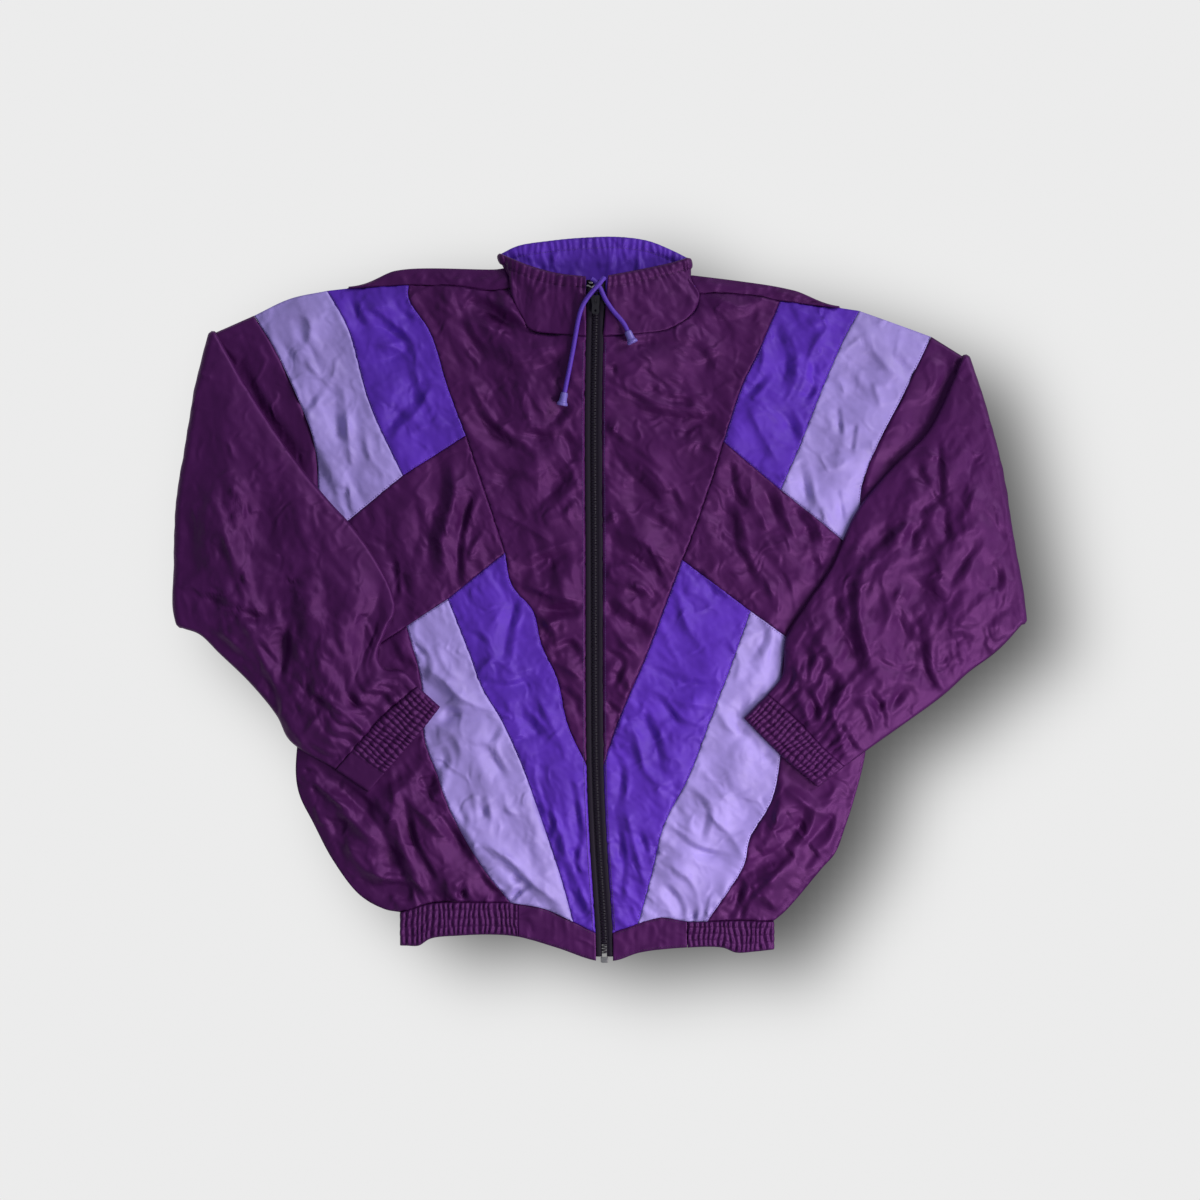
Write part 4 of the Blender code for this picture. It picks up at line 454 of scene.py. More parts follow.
SLEEVE_CREASES = {
    "right": [
        (4, -3.5, -411, 7, -382, 0, -358, -7), (4, -4, -362, -6, -342, -16, -314, -10),
        (4, -3, -387, -10, -368, -16, -342, -17), (4, 3, -385, -13, -372, -3, -352, -8),
        (7, 5, -375, 75, -365, 35, -352, -2), (4, 3, -373, 73, -359, 88), (5, -4, -365, 32, -352, 7),
        (6, 4, -353, -25, -335, -61, -320, -94), (3, -2.5, -345, -35, -325, -61, -315, -71),
        (5, -4, -313, -21, -315, -51, -319, -78), (6, 3.5, -382, -21, -367, -45, -348, -71),
        (6, 2.5, -420, 12, -395, 32, -380, 47), (5, 2.5, -353, 119, -370, 106),
        (5, 2.5, -352, 105, -373, 90), (22, -6, -325, 121, -332, 75, -325, 28),
        (2.5, -2, -330, 20, -295, 17), (10, -7, -217, 25, -225, -15, -237, -55, -251, -94),
        (10, 4, -236, 28, -244, -15, -256, -51), (16, 5, -294, 28, -291, -11, -302, -61),
        (7, 4, -199, -5, -202, -38, -216, -71), (4, 3.5, -232, -91, -216, -79, -196, -74),
        (3.5, -4, -226, -98, -206, -88, -191, -90), (4, 3, -219, -108, -203, -98, -189, -98),
        (3.5, 4, -269, -104, -252, -114, -233, -137), (4, 3, -233, -137, -252, -153, -269, -169),
        (5, 3.5, -297, -136, -279, -114, -266, -108), (5, -5, -252, -91, -239, -111, -219, -121),
        (5, -3.5, -305, -79, -275, -106, -266, -114), (5, 3, -309, 132, -285, 127, -267, 114),
        (4, 2, -302, 95, -282, 100), (4, -3, -295, -144, -269, -157, -252, -157),
        (5, 3, -325, -104, -302, -137, -282, -157), (4, -3.5, -338, -74, -325, -94, -322, -114),
        (5, -3, -405, -25, -372, -45, -338, -78), (7, -3, -282, -71, -295, -88, -302, -78),
        (14, -3, -398, 161, -385, 134, -388, 108), (8, 3, -269, -31, -279, -61, -295, -78),
        (5, 3.5, -239, -101, -229, -83, -216, -61),
    ],
    "left": [
        (4, -4, 336, 160, 337, 119, 339, 95), (4, -4, 313, 138, 333, 101, 343, 91),
        (4, -3.5, 342, 91, 345, 58), (6, 3, 348, 151, 345, 119, 351, 93),
        (4, 3, 372, 115, 364, 90, 354, 77), (8, -4, 335, 104, 319, 87, 318, 64),
        (5, 3.5, 377, 74, 354, 63, 333, 42), (6, 3.5, 383, 58, 367, 32, 351, 10),
        (4, -3, 373, 55, 354, 29, 345, 13), (3, -2.5, 380, 88, 399, 68, 413, 58),
        (4, 2.5, 386, 103, 396, 80, 394, 68), (8, -4.5, 303, 26, 329, 7, 351, -9), (4, 3, 303, 17, 290, -4),
        (7, 5, 261, 32, 255, -12, 265, -50, 273, -76), (7, -5, 249, 23, 246, -9, 251, -44),
        (8, -6, 231, 13, 236, -22, 252, -50, 256, -73), (5, 4, 256, -73, 246, -83, 226, -102),
        (5, 4, 226, -102, 236, -130, 246, -157), (7, -4.5, 219, -66, 233, -86, 211, -114),
        (5, 3.5, 212, -33, 228, -58, 227, -73), (4, -3.5, 274, -60, 297, -70, 319, -66),
        (5, 4.5, 297, -70, 287, -98, 273, -122), (6, -5, 306, -81, 292, -101, 278, -117),
        (5, 4, 322, -47, 335, -82, 354, -94), (6, -5, 318, -38, 324, -70, 337, -92),
        (5, -3.5, 332, -54, 354, -36, 372, -41), (4, 3, 345, -66, 357, -57, 370, -63),
        (4, 4, 258, -98, 268, -117, 273, -135), (4, -4, 265, -89, 278, -105, 282, -130),
        (5, 4, 188, -63, 204, -80, 219, -73), (4, 4, 192, -90, 204, -114, 209, -129),
        (4, -4, 198, -86, 211, -101, 217, -124), (7, -4.5, 319, 90, 290, 66, 265, 39),
        (5, 4, 258, 26, 278, 51, 303, 73, 325, 87), (5, -3.5, 384, 42, 396, 23, 392, 1),
        (5, 2.5, 399, 39, 405, 13, 402, -9), (7, 3, 278, 23, 287, -9, 281, -34),
        (7, -3.5, 290, -12, 303, -34, 294, -57), (6, 3, 329, 48, 338, 29, 329, 13),
        (8, -3, 357, 173, 370, 144, 367, 122), (6, -3, 303, 87, 310, 61, 303, 39),
        (5, 3, 284, -143, 306, -121, 335, -101), (4, -4, 236, -121, 249, -143, 258, -153),
        (5, -3.5, 195, -41, 207, -57, 201, -73), (5, 2.5, 341, -9, 354, -22, 377, -22),
    ],
}
SLEEVE_GRAIN = {"right": -58, "left": -122}
SLEEVE_CRUMPLE = 4.2
ROOT_GRAIN = {"right": -65, "left": -115}
ROOT_CRUMPLE = 4.0
SLEEVE_SEED = {"right": 11, "left": 23}

# Crumple on each side: direction in degrees, stretch, size, height and seed
CRUMPLE = {"right": (-58, 2.3, 40.0, 3.4, 1), "left": (-40, 2.3, 40.0, 3.2, 2)}
CRUMPLE_EXTRA = {"lower_side": 1.3, "lower_lavender": 0.8, "lower_violet": 1.1, "shoulder_lavender": 0.9,
                 "front_centre": 1.25}
PUCKER = 1.0
ZIP_PUCKER = 1.8
STRIP_TAPER = 0.3
STRIP_SWELL = 1.6
STRIP_CRUMPLE = 4.2
UNDER_COLLAR = {"right": (6.0, 0.0), "left": (-6.0, 0.0)}
CREASE_RISE = 1.3
# Creases fall off steeply on the side away from the light and gently on the other
SHADE_SIDE = np.array([-0.8, -0.6])
CREASE_LEAN = 0.4
# A trough's lips: height as a share of its depth, place and width in half widths
LIP_SHARE, LIP_PLACE, LIP_WIDTH = 0.3, 2.1, 0.8
CRUMPLE_OCTAVES = 4
PATCH_SIZE = 85.0
RIDGE_SOFTNESS = 0.0012

# Seams with a dashed line of stitches, by the block they lie on
BLOCK_SEAMS = {
    "shoulder_violet": ["block_in", "block_mid", "violet_foot"],
    "shoulder_lavender": ["armhole_top", "lavender_foot"],
    "lower_violet": ["v_lower", "violet_lavender", "band_foot_violet"],
    "lower_lavender": ["lavender_side", "band_foot_lavender"],
}

# How much of a sleeve's inner edge is topstitched, from the shoulder, and how far inside the edge
SLEEVE_STITCHED = {"right": 0.33, "left": 0.62}
SLEEVE_STITCH_INSET = {"right": -1.8, "left": 9.0}
BLOCK_STITCH_INSET = 1.3
HEM_STITCH_INSET = 2.2

CUFF_SMOOTH = {"right": 0.77, "left": 2.0}
CUFF_LINES = 5
HEM_LINES = 4
COLLAR_TUNNEL = 11.0
GATHERS_ABOVE_CUFF = {"right": 9, "left": 11}

# A stitch: place and thickness along it, and the corners of its section
STITCH_PROFILE = [(-0.5, 0.45), (-0.3, 1.0), (0.3, 1.0), (0.5, 0.45)]
STITCH_SECTION = [(-1, -0.6), (-0.6, 0.7), (0.6, 0.7), (1, -0.6)]
# Kinds of stitches: thread, then the pitch, length and thickness of one
STITCHES = {
    "zip": ("thread_zip", 2.4, 1.7, 0.34),
    "block": ("thread_violet", 2.9, 1.5, 0.26),
    "sleeve": ("thread_plum", 2.9, 1.9, 0.3),
    "cuff": ("thread_plum", 2.6, 1.5, 0.24),
    "hem": ("thread_plum", 2.8, 1.8, 0.26),
    "tunnel": ("thread_plum", 2.7, 1.7, 0.26),
    "tunnel_inside": ("thread_violet", 2.7, 1.7, 0.26),
}

COLOURS = {
    "plum": (0.040, 0.0042, 0.053),
    "violet": (0.078, 0.019, 0.370),
    "lavender": (0.300, 0.228, 0.590),
    "thread": (0.085, 0.030, 0.250),
    "thread_zip": (0.045, 0.013, 0.110),
    "thread_plum": (0.024, 0.004, 0.036),
    "zip_black": (0.0095, 0.0055, 0.0145),
    "stopper": (0.150, 0.110, 0.440),
    "dark_metal": (0.060, 0.055, 0.065),
    "bright_metal": (0.420, 0.400, 0.410),
}

# Trims: colour, roughness, metallic, then the relief's scale and strength, and for some their gleam
FINISHES = {
    "thread_violet": ("thread", 0.55, 0.0, 2500.0, 0.3),
    "thread_zip": ("thread_zip", 0.55, 0.0, 2500.0, 0.3),
    "thread_plum": ("thread_plum", 0.55, 0.0, 2500.0, 0.3),
    "zip_tape": ("zip_black", 0.75, 0.0, 900.0, 0.6, 0.2),
    "zip_tooth": ("zip_black", 0.42, 0.0, 300.0, 0.1, 0.3),
    "cord": ("violet", 0.6, 0.0, 1300.0, 0.9),
    "stopper": ("stopper", 0.4, 0.0, 200.0, 0.1),
    "dark_metal": ("dark_metal", 0.35, 1.0, 250.0, 0.15),
    "bright_metal": ("bright_metal", 0.3, 1.0, 250.0, 0.15),
}

# The width of floor that the photo takes in, in metres, and its tone
FRAME_WIDTH = 1.2
FLOOR_TONE = 0.838
# The photo's wide soft shadow, laid on the floor: its offset, softness, depth, and the grid that carries it
SHADE_OFFSET = (35.0, -37.0)
SHADE_SOFT = 33.0
SHADE_DEPTH = 0.92
SHADE_REACH = 720.0
SHADE_STEP = 12.0
FLOOR_REACH = 12000.0
WORLD_STRENGTH = 0.32
SKY_COLOUR = (0.86, 0.93, 1.0, 1)
# The sun's direction, strength and width, and the lamp's place, power and size
SUN = ((0.72, 0.50, 0.58), 1.6, 0.35)
LAMP = ((0.80, -0.46, 0.78), 10.5, 0.55)
LAMP_COLOUR = (1.0, 0.94, 0.95)


# Curves and plan shapes

def ease(value):
    value = np.clip(value, 0.0, 1.0)
    return value * value * (3.0 - 2.0 * value)


def unit(vector):
    return vector / np.linalg.norm(vector)


def smooth_line(points, samples=24):
    """Many points on a Catmull-Rom curve through the given ones, paced by their distances."""
    p = np.array(points, float)
    if len(p) == 2:
        return p[0] + np.linspace(0, 1, samples + 1)[:, None] * (p[1] - p[0])
    p = np.vstack([2 * p[0] - p[1], p, 2 * p[-1] - p[-2]])
    pace = np.cumsum(np.r_[0.0, np.sqrt(steps_of(p))])
    line = []
    for i in range(1, len(p) - 2):
        t0, t1, t2, t3 = pace[i - 1:i + 3]
        t = np.linspace(t1, t2, samples, endpoint=False)[:, None]
        a1 = ((t1 - t) * p[i - 1] + (t - t0) * p[i]) / (t1 - t0)
        a2 = ((t2 - t) * p[i] + (t - t1) * p[i + 1]) / (t2 - t1)
        a3 = ((t3 - t) * p[i + 1] + (t - t2) * p[i + 2]) / (t3 - t2)
        b1 = ((t2 - t) * a1 + (t - t0) * a2) / (t2 - t0)
        b2 = ((t3 - t) * a2 + (t - t1) * a3) / (t3 - t1)
        line.append(((t2 - t) * b1 + (t - t1) * b2) / (t2 - t1))
    return np.vstack(line + [p[-2:-1]])


def steps_of(line):
    return np.linalg.norm(np.diff(line, axis=0), axis=1)


def distances_along(line):
    return np.cumsum(np.r_[0.0, steps_of(line)])


def length_of(line):
    return steps_of(line).sum()


def at_shares(line, shares):
    """Points of a polyline at the given shares of its length."""
    along = distances_along(line)
    wanted = np.asarray(shares) * along[-1]
    return np.stack([np.interp(wanted, along, line[:, k]) for k in range(line.shape[1])], axis=-1)


def to_left(line):
    """Unit directions to the left of a plan line, at each of its points."""
    run = np.gradient(line, axis=0)
    run /= np.linalg.norm(run, axis=1, keepdims=True)
    return np.stack([-run[:, 1], run[:, 0]], axis=1)


def beside(line, gap):
    """The line moved sideways to its left by a gap."""
    return line + gap * to_left(line)


def spaced(points, step):
    """A smooth line through the points, cut into equal lengths of about one step."""
    line = smooth_line(points)
    pieces = max(1, int(round(length_of(line) / step)))
    return at_shares(line, np.linspace(0, 1, pieces + 1))


def zip_x(y):
    line = smooth_line(ZIP_LINE[::-1])
    return np.interp(y, line[:, 1], line[:, 0])


def zip_edge(side, y_start, y_end):
    levels = np.linspace(y_start, y_end, 7)
    return [(float(zip_x(y)) + side * ZIP_HALF, float(y)) for y in levels]


def add_zip_seams():
    for name, side in (("right", -1), ("left", 1)):
        SEAMS[f"v_lower_{name}"][-1] = zip_edge(side, V_TIP_Y, ZIP_HEM_Y)[0]
        SEAMS[f"zip_{name}"] = zip_edge(side, V_TIP_Y, NECK_Y)
        SEAMS[f"zip_low_{name}"] = zip_edge(side, ZIP_HEM_Y, V_TIP_Y)
        SEAMS[f"hem_violet_{name}"][0 if side > 0 else -1] = zip_edge(side, ZIP_HEM_Y, V_TIP_Y)[0]
        SEAMS[f"collar_base_{name}"][0 if side > 0 else -1] = zip_edge(side, NECK_Y, V_TIP_Y)[0]
    for seam in ("zip_left", "zip_low_left"):
        SEAMS[seam] = SEAMS[seam][::-1]


def loop_of(seams, step):
    """The closed outline made by the named seams, one after the other."""
    parts = []
    for name in seams:
        line = spaced(SEAMS[name.lstrip("-")], step)
        line = line[::-1] if name.startswith("-") else line
        parts.append(line[:-1])
    return np.vstack(parts)


def rim_distance(points, loop):
    """Distance inside a closed outline (negative outside) and how far along it the nearest point is."""
    p = np.asarray(points, float).reshape(-1, 2)
    a, b = loop, np.roll(loop, -1, axis=0)
    run = b - a
    lengths = np.linalg.norm(run, axis=1)
    start = np.r_[0.0, np.cumsum(lengths)[:-1]]
    rise = np.where(np.abs(run[:, 1]) < 1e-9, 1e-9, run[:, 1])
    distances, alongs = [], []
    for block in np.array_split(p, max(1, len(p) // 3000)):
        share = ((block[:, None, :] - a) * run).sum(-1) / np.maximum(lengths ** 2, 1e-9)
        share = np.clip(share, 0, 1)
        far = ((block[:, None, :] - a - share[..., None] * run) ** 2).sum(-1)
        best = far.argmin(axis=1)
        rows = np.arange(len(block))
        above = (a[:, 1] > block[:, 1:2]) != (b[:, 1] > block[:, 1:2])
        cross = a[:, 0] + (block[:, 1:2] - a[:, 1]) * run[:, 0] / rise
        inside = (above & (block[:, 0:1] < cross)).sum(axis=1) % 2 == 1
        distances.append(np.where(inside, 1.0, -1.0) * np.sqrt(far[rows, best]))
        alongs.append(start[best] + share[rows, best] * lengths[best])
    return np.concatenate(distances), np.concatenate(alongs)


def depth(points, loop):
    return rim_distance(points, loop)[0]


def outline_of(names, samples=6):
    """One line through the named seams and outlines, in turn; a minus sign runs one backwards."""
    lines = []
    for name in names:
        key = name.lstrip("-")
        line = smooth_line(SEAMS[key] if key in SEAMS else OUTLINES[key], samples)
        lines.append(line[::-1] if name.startswith("-") else line)
    return np.vstack(lines)


def sleeve_cover(side):
    """The outline of a folded sleeve and its cuff, as it lies on the front."""
    return outline_of([f"over_{side}", f"cuff_end_{side}", f"-under_{side}", f"-fold_{side}"])


def sleeve_root(side):
    """The outline of the stretch of sleeve from the armhole to the fold."""
    return outline_of([f"armhole_top_{side}", f"armhole_low_{side}", f"-fold_{side}"])


add_zip_seams()
# Body, collar and sleeve roots together
SILHOUETTE = outline_of([
    "-hem_end", "-side_low_right", "-side_high_right", "-fold_right", "lavender_top_right",
    "violet_top_out_right", "strip_right", "collar_back_top", "strip_left", "violet_top_out_left",
    "lavender_top_left", "fold_left", "side_high_left", "side_low_left",
])
# Sides, armholes, shoulders and neckline, without the waistband
BODY = outline_of([
    "-side_low_right", "-side_high_right", "-armhole_low_right", "-armhole_top_right",
    "lavender_top_right", "strip_right", "strip_left", "lavender_top_left",
    "armhole_top_left", "armhole_low_left", "side_high_left", "side_low_left",
])
COVERS = [sleeve_cover("right"), sleeve_cover("left")]
HEM_TOP_LINE = outline_of(["hem_side_right", "hem_lavender_right", "hem_violet_right",
                           "hem_violet_left", "hem_lavender_left", "hem_side_left"], 24)
HEM_END_LINE = smooth_line(OUTLINES["hem_end"])
SUPPORTS = {side: [BODY, sleeve_root(side)] for side, _ in SIDES}


# Creases and crumple

def noise(x, y, seed):
    """Smooth gradient noise over the plane, about -0.7 to 0.7."""
    x, y = np.atleast_1d(x, y)
    x0, y0 = np.floor(x).astype(np.int64), np.floor(y).astype(np.int64)
    fx, fy = x - x0, y - y0

    def corner(dx, dy):
        code = (x0 + dx) * 374761393 + (y0 + dy) * 668265263 + seed * 974634777
        code = (code ^ (code >> 13)) * 1274126177
        angle = ((code ^ (code >> 16)) & 0xFFFF) * (2 * math.pi / 65536)
        return np.cos(angle) * (fx - dx) + np.sin(angle) * (fy - dy)

    u = fx ** 3 * (fx * (fx * 6 - 15) + 10)
    v = fy ** 3 * (fy * (fy * 6 - 15) + 10)
    low = corner(0, 0) * (1 - u) + corner(1, 0) * u
    high = corner(0, 1) * (1 - u) + corner(1, 1) * u
    return low * (1 - v) + high * v


def folds(points, rows):
    """The summed height of soft ridges and troughs, each along its own stretch."""
    total = np.zeros(len(points))
    for row in rows:
        fold = dict(zip(FOLD_COLUMNS, row))
        start = np.array([fold["x0"], fold["y0"]], float)
        run = np.array([fold["x1"], fold["y1"]], float) - start
        share = np.clip(((points - start) @ run) / (run @ run), 0, 1)
        off = np.linalg.norm(points - start - share[:, None] * run, axis=1)
        taper = 0.65 + 0.35 * np.sin(math.pi * share)
        total += fold["rise"] * np.exp(-(off / fold["width"]) ** 2) * taper
    return total


def creases(points, rows):
    """Narrow creases, highest in the middle of their run and low at both ends; troughs have raised lips."""
    total = np.zeros(len(points))
    for width, rise, *course in rows:
        line = smooth_line(np.reshape(course, (-1, 2)), 5)
        reach = 4.0 * width
        near = np.all((points > line.min(axis=0) - reach) & (points < line.max(axis=0) + reach), axis=1)
        if not near.any():
            continue
        p = points[near]
        start, run = line[:-1], np.diff(line, axis=0)
        sizes = np.linalg.norm(run, axis=1)
        begun = np.r_[0.0, np.cumsum(sizes)[:-1]]
        share = np.clip(((p[:, None] - start) * run).sum(-1) / sizes ** 2, 0, 1)
        far = np.linalg.norm(p[:, None] - start - share[..., None] * run, axis=-1)
        best = far.argmin(axis=1)
        rows_of = np.arange(len(p))
        nearest = start[best] + share[rows_of, best][:, None] * run[best]
        across = np.stack([-run[:, 1], run[:, 0]], axis=1)[best]
        steep_side = SHADE_SIDE if rise > 0 else -SHADE_SIDE
        across *= np.sign(across @ steep_side)[:, None] / np.linalg.norm(across, axis=1, keepdims=True)
        off = far[rows_of, best]
        lean = ((p - nearest) * across).sum(1) / (off + 0.3)
        off = off / (width * (1.03 - CREASE_LEAN * lean))
        along = (begun[best] + share[rows_of, best] * sizes[best]) / sizes.sum()
        taper = 0.12 + 0.88 * np.sin(math.pi * np.clip(along, 0, 1)).clip(0) ** 0.8
        uneven = 1.0 + 0.35 * np.sin(9.0 * along + 0.3 * line[0, 0])
        shape = np.exp(-np.sqrt(off ** 2 + 0.015) ** 1.3)
        if rise < 0:
            shape = shape - LIP_SHARE * np.exp(-((off - LIP_PLACE) / LIP_WIDTH) ** 2)
        total[near] += rise * taper * uneven * shape
    return total


def crumple(points, angle, stretch, scale, seed):
    """The crinkle of thin nylon: flat facets between soft-edged creases, drawn out along one direction."""
    c, s = math.cos(angle), math.sin(angle)
    along = (points[:, 0] * c + points[:, 1] * s) / stretch
    across = -points[:, 0] * s + points[:, 1] * c
    total = np.zeros(len(points))
    size, weight = scale, 1.0
    where = noise(points[:, 0] / PATCH_SIZE, points[:, 1] / PATCH_SIZE, seed + 91)
    patches = 0.45 + 1.5 * ease(0.5 + 1.1 * where)
    for octave in range(CRUMPLE_OCTAVES):
        u, v = along / size, across / size
        bend_u = noise(u * 0.7 + 7.1, v * 0.7 - 3.7, seed + 31 * octave)
        bend_v = noise(u * 0.7 - 5.3, v * 0.7 + 9.2, seed + 37 * octave)
        ridge = noise(u + 0.8 * bend_u + 13.0 * octave, v + 0.8 * bend_v, seed + 17 * octave)
        valley = noise(u + 0.8 * bend_v + 41.0, v + 0.8 * bend_u - 13.0 * octave, seed + 19 * octave)
        total += weight * (np.sqrt(valley ** 2 + RIDGE_SOFTNESS) - np.sqrt(ridge ** 2 + RIDGE_SOFTNESS))
        size, weight = size * 0.5, weight * 0.46
    return total * patches


# Heights

def front_mid(points):
    """Height of the middle of the front's cloth at each (x, y), as in the solids."""
    p = np.asarray(points, float).reshape(-1, 2)
    rise = ease(depth(p, SILHOUETTE) / RIM_WIDTH)
    from_zip = p[:, 0] - zip_x(p[:, 1])
    calm = ease(np.abs(from_zip) / CALM_BESIDE_ZIP)
    z = RIM_Z + (OPEN_Z - RIM_Z) * rise + folds(p, FRONT_FOLDS) * rise * calm
    stand = ease((p[:, 1] - NECK_START_Y) / (NECK_END_Y - NECK_START_Y))
    z += NECK_RISE * stand * np.exp(-(from_zip / NECK_SPREAD) ** 2) * rise
    hem_y = np.interp(p[:, 0], HEM_TOP_LINE[:, 0], HEM_TOP_LINE[:, 1])
    z = HEM_Z + (z - HEM_Z) * ease((p[:, 1] - hem_y) / HEM_PINCH + 0.05)
    z = np.maximum(z, LOWEST_Z)
    for cover in COVERS:
        press = ease(1.0 + (depth(p, cover) + PRESS_REACH) / PRESS_MARGIN)
        z += (np.minimum(z, PRESSED_Z) - z) * press
    return z


def sleeve_lift(points, side):
    """Height of the folded sleeve's underside: over the body and its own root, else near the floor."""
    p = np.asarray(points, float).reshape(-1, 2)
    inside = np.max([depth(p, loop) for loop in SUPPORTS[side]], axis=0)
    return FLOOR_LIFT + (SLEEVE_LIFT - FLOOR_LIFT) * ease(1.0 + (inside + DRAPE_MARGIN) / DRAPE_LENGTH)


def uncovered(points):
    """1 where the front is open to the eye and 0 deep under a sleeve."""
    shown = np.ones(len(points))
    for cover in COVERS:
        shown = np.minimum(shown, ease(-(depth(points, cover) + COVER_MARGIN) / COVER_FADE))
    return shown


# Meshes

CLOTHS = {}
# No grid point lies nearer the rim than this share of a grid step
RIM_FREE = 0.55


def new_piece(name, points, faces, material, node=None, shell=0.0):
    """A smooth mesh that rides on the jacket; it replaces a solid's node if one is given."""
    mesh = bpy.data.meshes.new(name)
    mesh.from_pydata((np.asarray(points, float) * MM).tolist(), [], faces)
    mesh.materials.append(MATERIALS[material])
    mesh.shade_smooth()
    piece = bpy.data.objects.new(name, mesh)
    bpy.context.scene.collection.objects.link(piece)
    if shell:
        skin = piece.modifiers.new("shell", "SOLIDIFY")
        skin.thickness = shell * MM
        skin.offset = -1.0
    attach(piece, JACKET)
    if node:
        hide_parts(node)
    CLOTHS[name] = piece
    return piece


def grid_faces(stations, rows, closed=False, flip=False):
    """Quads of a grid of points [station][row]; closed joins the last row to the first."""
    i, j = np.meshgrid(np.arange(stations - 1), np.arange(rows if closed else rows - 1), indexing="ij")
    k = (j + 1) % rows
    quads = np.stack([i * rows + j, (i + 1) * rows + j, (i + 1) * rows + k, i * rows + k], axis=-1)
    quads = quads.reshape(-1, 4)
    return (quads[:, ::-1] if flip else quads).tolist()


def bar_faces(first, stations, sides):
    """The side faces of a bar whose points start at the given number."""
    faces = []
    for i in range(stations - 1):
        for j in range(sides):
            a, b = first + i * sides + j, first + i * sides + (j + 1) % sides
            faces.append([a, a + sides, b + sides, b])
    return faces


def plan_mesh(loop, step):
    """Triangles that fill a closed outline, with evenly spread points inside it."""
    low, high = loop.min(axis=0), loop.max(axis=0)
    row_height = step * math.sqrt(3) / 2
    rows = []
    for j, y in enumerate(np.arange(low[1] + row_height, high[1], row_height)):
        x = np.arange(low[0] + (0.5 * step if j % 2 else 0.0), high[0], step)
        rows.append(np.c_[x, np.full(len(x), y)])
    inside = np.vstack(rows)
    inside = inside[depth(inside, loop) > RIM_FREE * step]
    points = np.vstack([loop, inside])
    found = delaunay_2d_cdt([tuple(p) for p in points], [], [list(range(len(loop)))], 1, 1e-5)
    plan = np.array([tuple(p) for p in found[0]])
    triangles = np.array([list(face) for face in found[2]])
    a, b, c = plan[triangles[:, 0]], plan[triangles[:, 1]], plan[triangles[:, 2]]
    turn = (b[:, 0] - a[:, 0]) * (c[:, 1] - a[:, 1]) - (b[:, 1] - a[:, 1]) * (c[:, 0] - a[:, 0])
    triangles[turn < 0] = triangles[turn < 0][:, ::-1]
    return plan, triangles.tolist()


def flat_ring(mid, normal, over, under):
    """One ring round a flattened tube: its middle line moved up by over and down by under."""
    high, low = mid + normal * over[:, None], mid - normal * under[:, None]
    return np.vstack([high, low[1:-1][::-1]])


def round_ends(across, reach):
    """1 over a flattened tube's middle, falling to 0 at both edges as a quarter circle does."""
    from_edge = np.minimum(across, 1 - across) / reach
    return np.sqrt(np.clip(1 - (1 - from_edge).clip(0, 1) ** 2, 0, 1))


# The front

def front_detail(points, name, loop):
    """What the cloth does on top of the solids' form: crumple, creases, seams and their puckers."""
    angle, stretch, scale, amount, seed = CRUMPLE[name.rsplit("_", 1)[1]]
    extra = CRUMPLE_EXTRA.get(name.rsplit("_", 1)[0], 1.0)
    edge, along = rim_distance(points, loop)
    shown = uncovered(points)
    off_zip = np.abs(points[:, 0] - zip_x(points[:, 1])) - ZIP_HALF
    rim = ease(depth(points, SILHOUETTE) / RIM_CALM)
    beside_zip = ease(off_zip / ZIP_CALM)
    amount = amount * (1.0 + (extra - 1.0) * ease(edge / EDGE_CALM))
    z = amount * crumple(points, math.radians(angle), stretch, scale, seed)
    z += CREASE_RISE * creases(points, FRONT_CREASES)
    z *= (0.25 + 0.75 * rim) * (0.2 + 0.8 * beside_zip)
    wave = noise(along / 8.0, edge / 30.0, seed + 5) + 0.6 * noise(along / 4.0, edge / 22.0, 3)
    z += PUCKER * wave * np.exp(-edge / 7.0)
    off_zip = off_zip.clip(0)
    z += ZIP_PUCKER * noise(points[:, 1] / 5.5, off_zip / 24.0, seed + 8) * np.exp(-off_zip / ZIP_CALM)
    z *= 0.2 + 0.8 * shown
    z -= SEAM_DIP * np.exp(-edge / SEAM_ROUND)
    return z


def make_fronts(tapes):
    for name, (cloth, seams) in PANELS.items():
        loop = loop_of(seams, RIM_STEP)
        plan, triangles = plan_mesh(loop, GRID)
        z = front_mid(plan) + SHELL / 2 + front_detail(plan, name, loop)
        z -= RIM_DROP * (1 - ease(depth(plan, SILHOUETTE) / RIM_DROP_WIDTH))
        z = np.maximum(z, CLOTH + LAYER_GAP)
        piece = new_piece(f"cloth_{name}", np.c_[plan, z], triangles, cloth, name, SHELL)


def strip_rows(side, step):
    """Where the back turns over the shoulder: its outer edge, and the seam where it ends in front."""
    outer, inner = (spaced(SEAMS[f"{name}_{side}"], step) for name in ("violet_top_strip", "v_top"))
    seam = np.vstack([outer, inner[1:]] if side == "right" else [inner, outer[1:]])
    rim = at_shares(smooth_line(OUTLINES[f"strip_{side}"]), np.linspace(0, 1, len(seam)))
    under = UNDER_COLLAR[side]
    if side == "right":
        seam, rim = np.vstack([seam, seam[-1] + under]), np.vstack([rim, rim[-1] + under])
    else:
        seam, rim = np.vstack([seam[0] + under, seam]), np.vstack([rim[0] + under, rim])
    inward = -to_left(rim)
    outer_end = np.linspace(0, 1, len(seam)) if side == "right" else np.linspace(1, 0, len(seam))
    narrow = (1 - ease(outer_end / STRIP_TAPER))[:, None]
    rim = rim + narrow * 0.95 * (seam - inward - rim)
    inward = inward * (1 - 0.75 * narrow)
    return rim, seam, inward


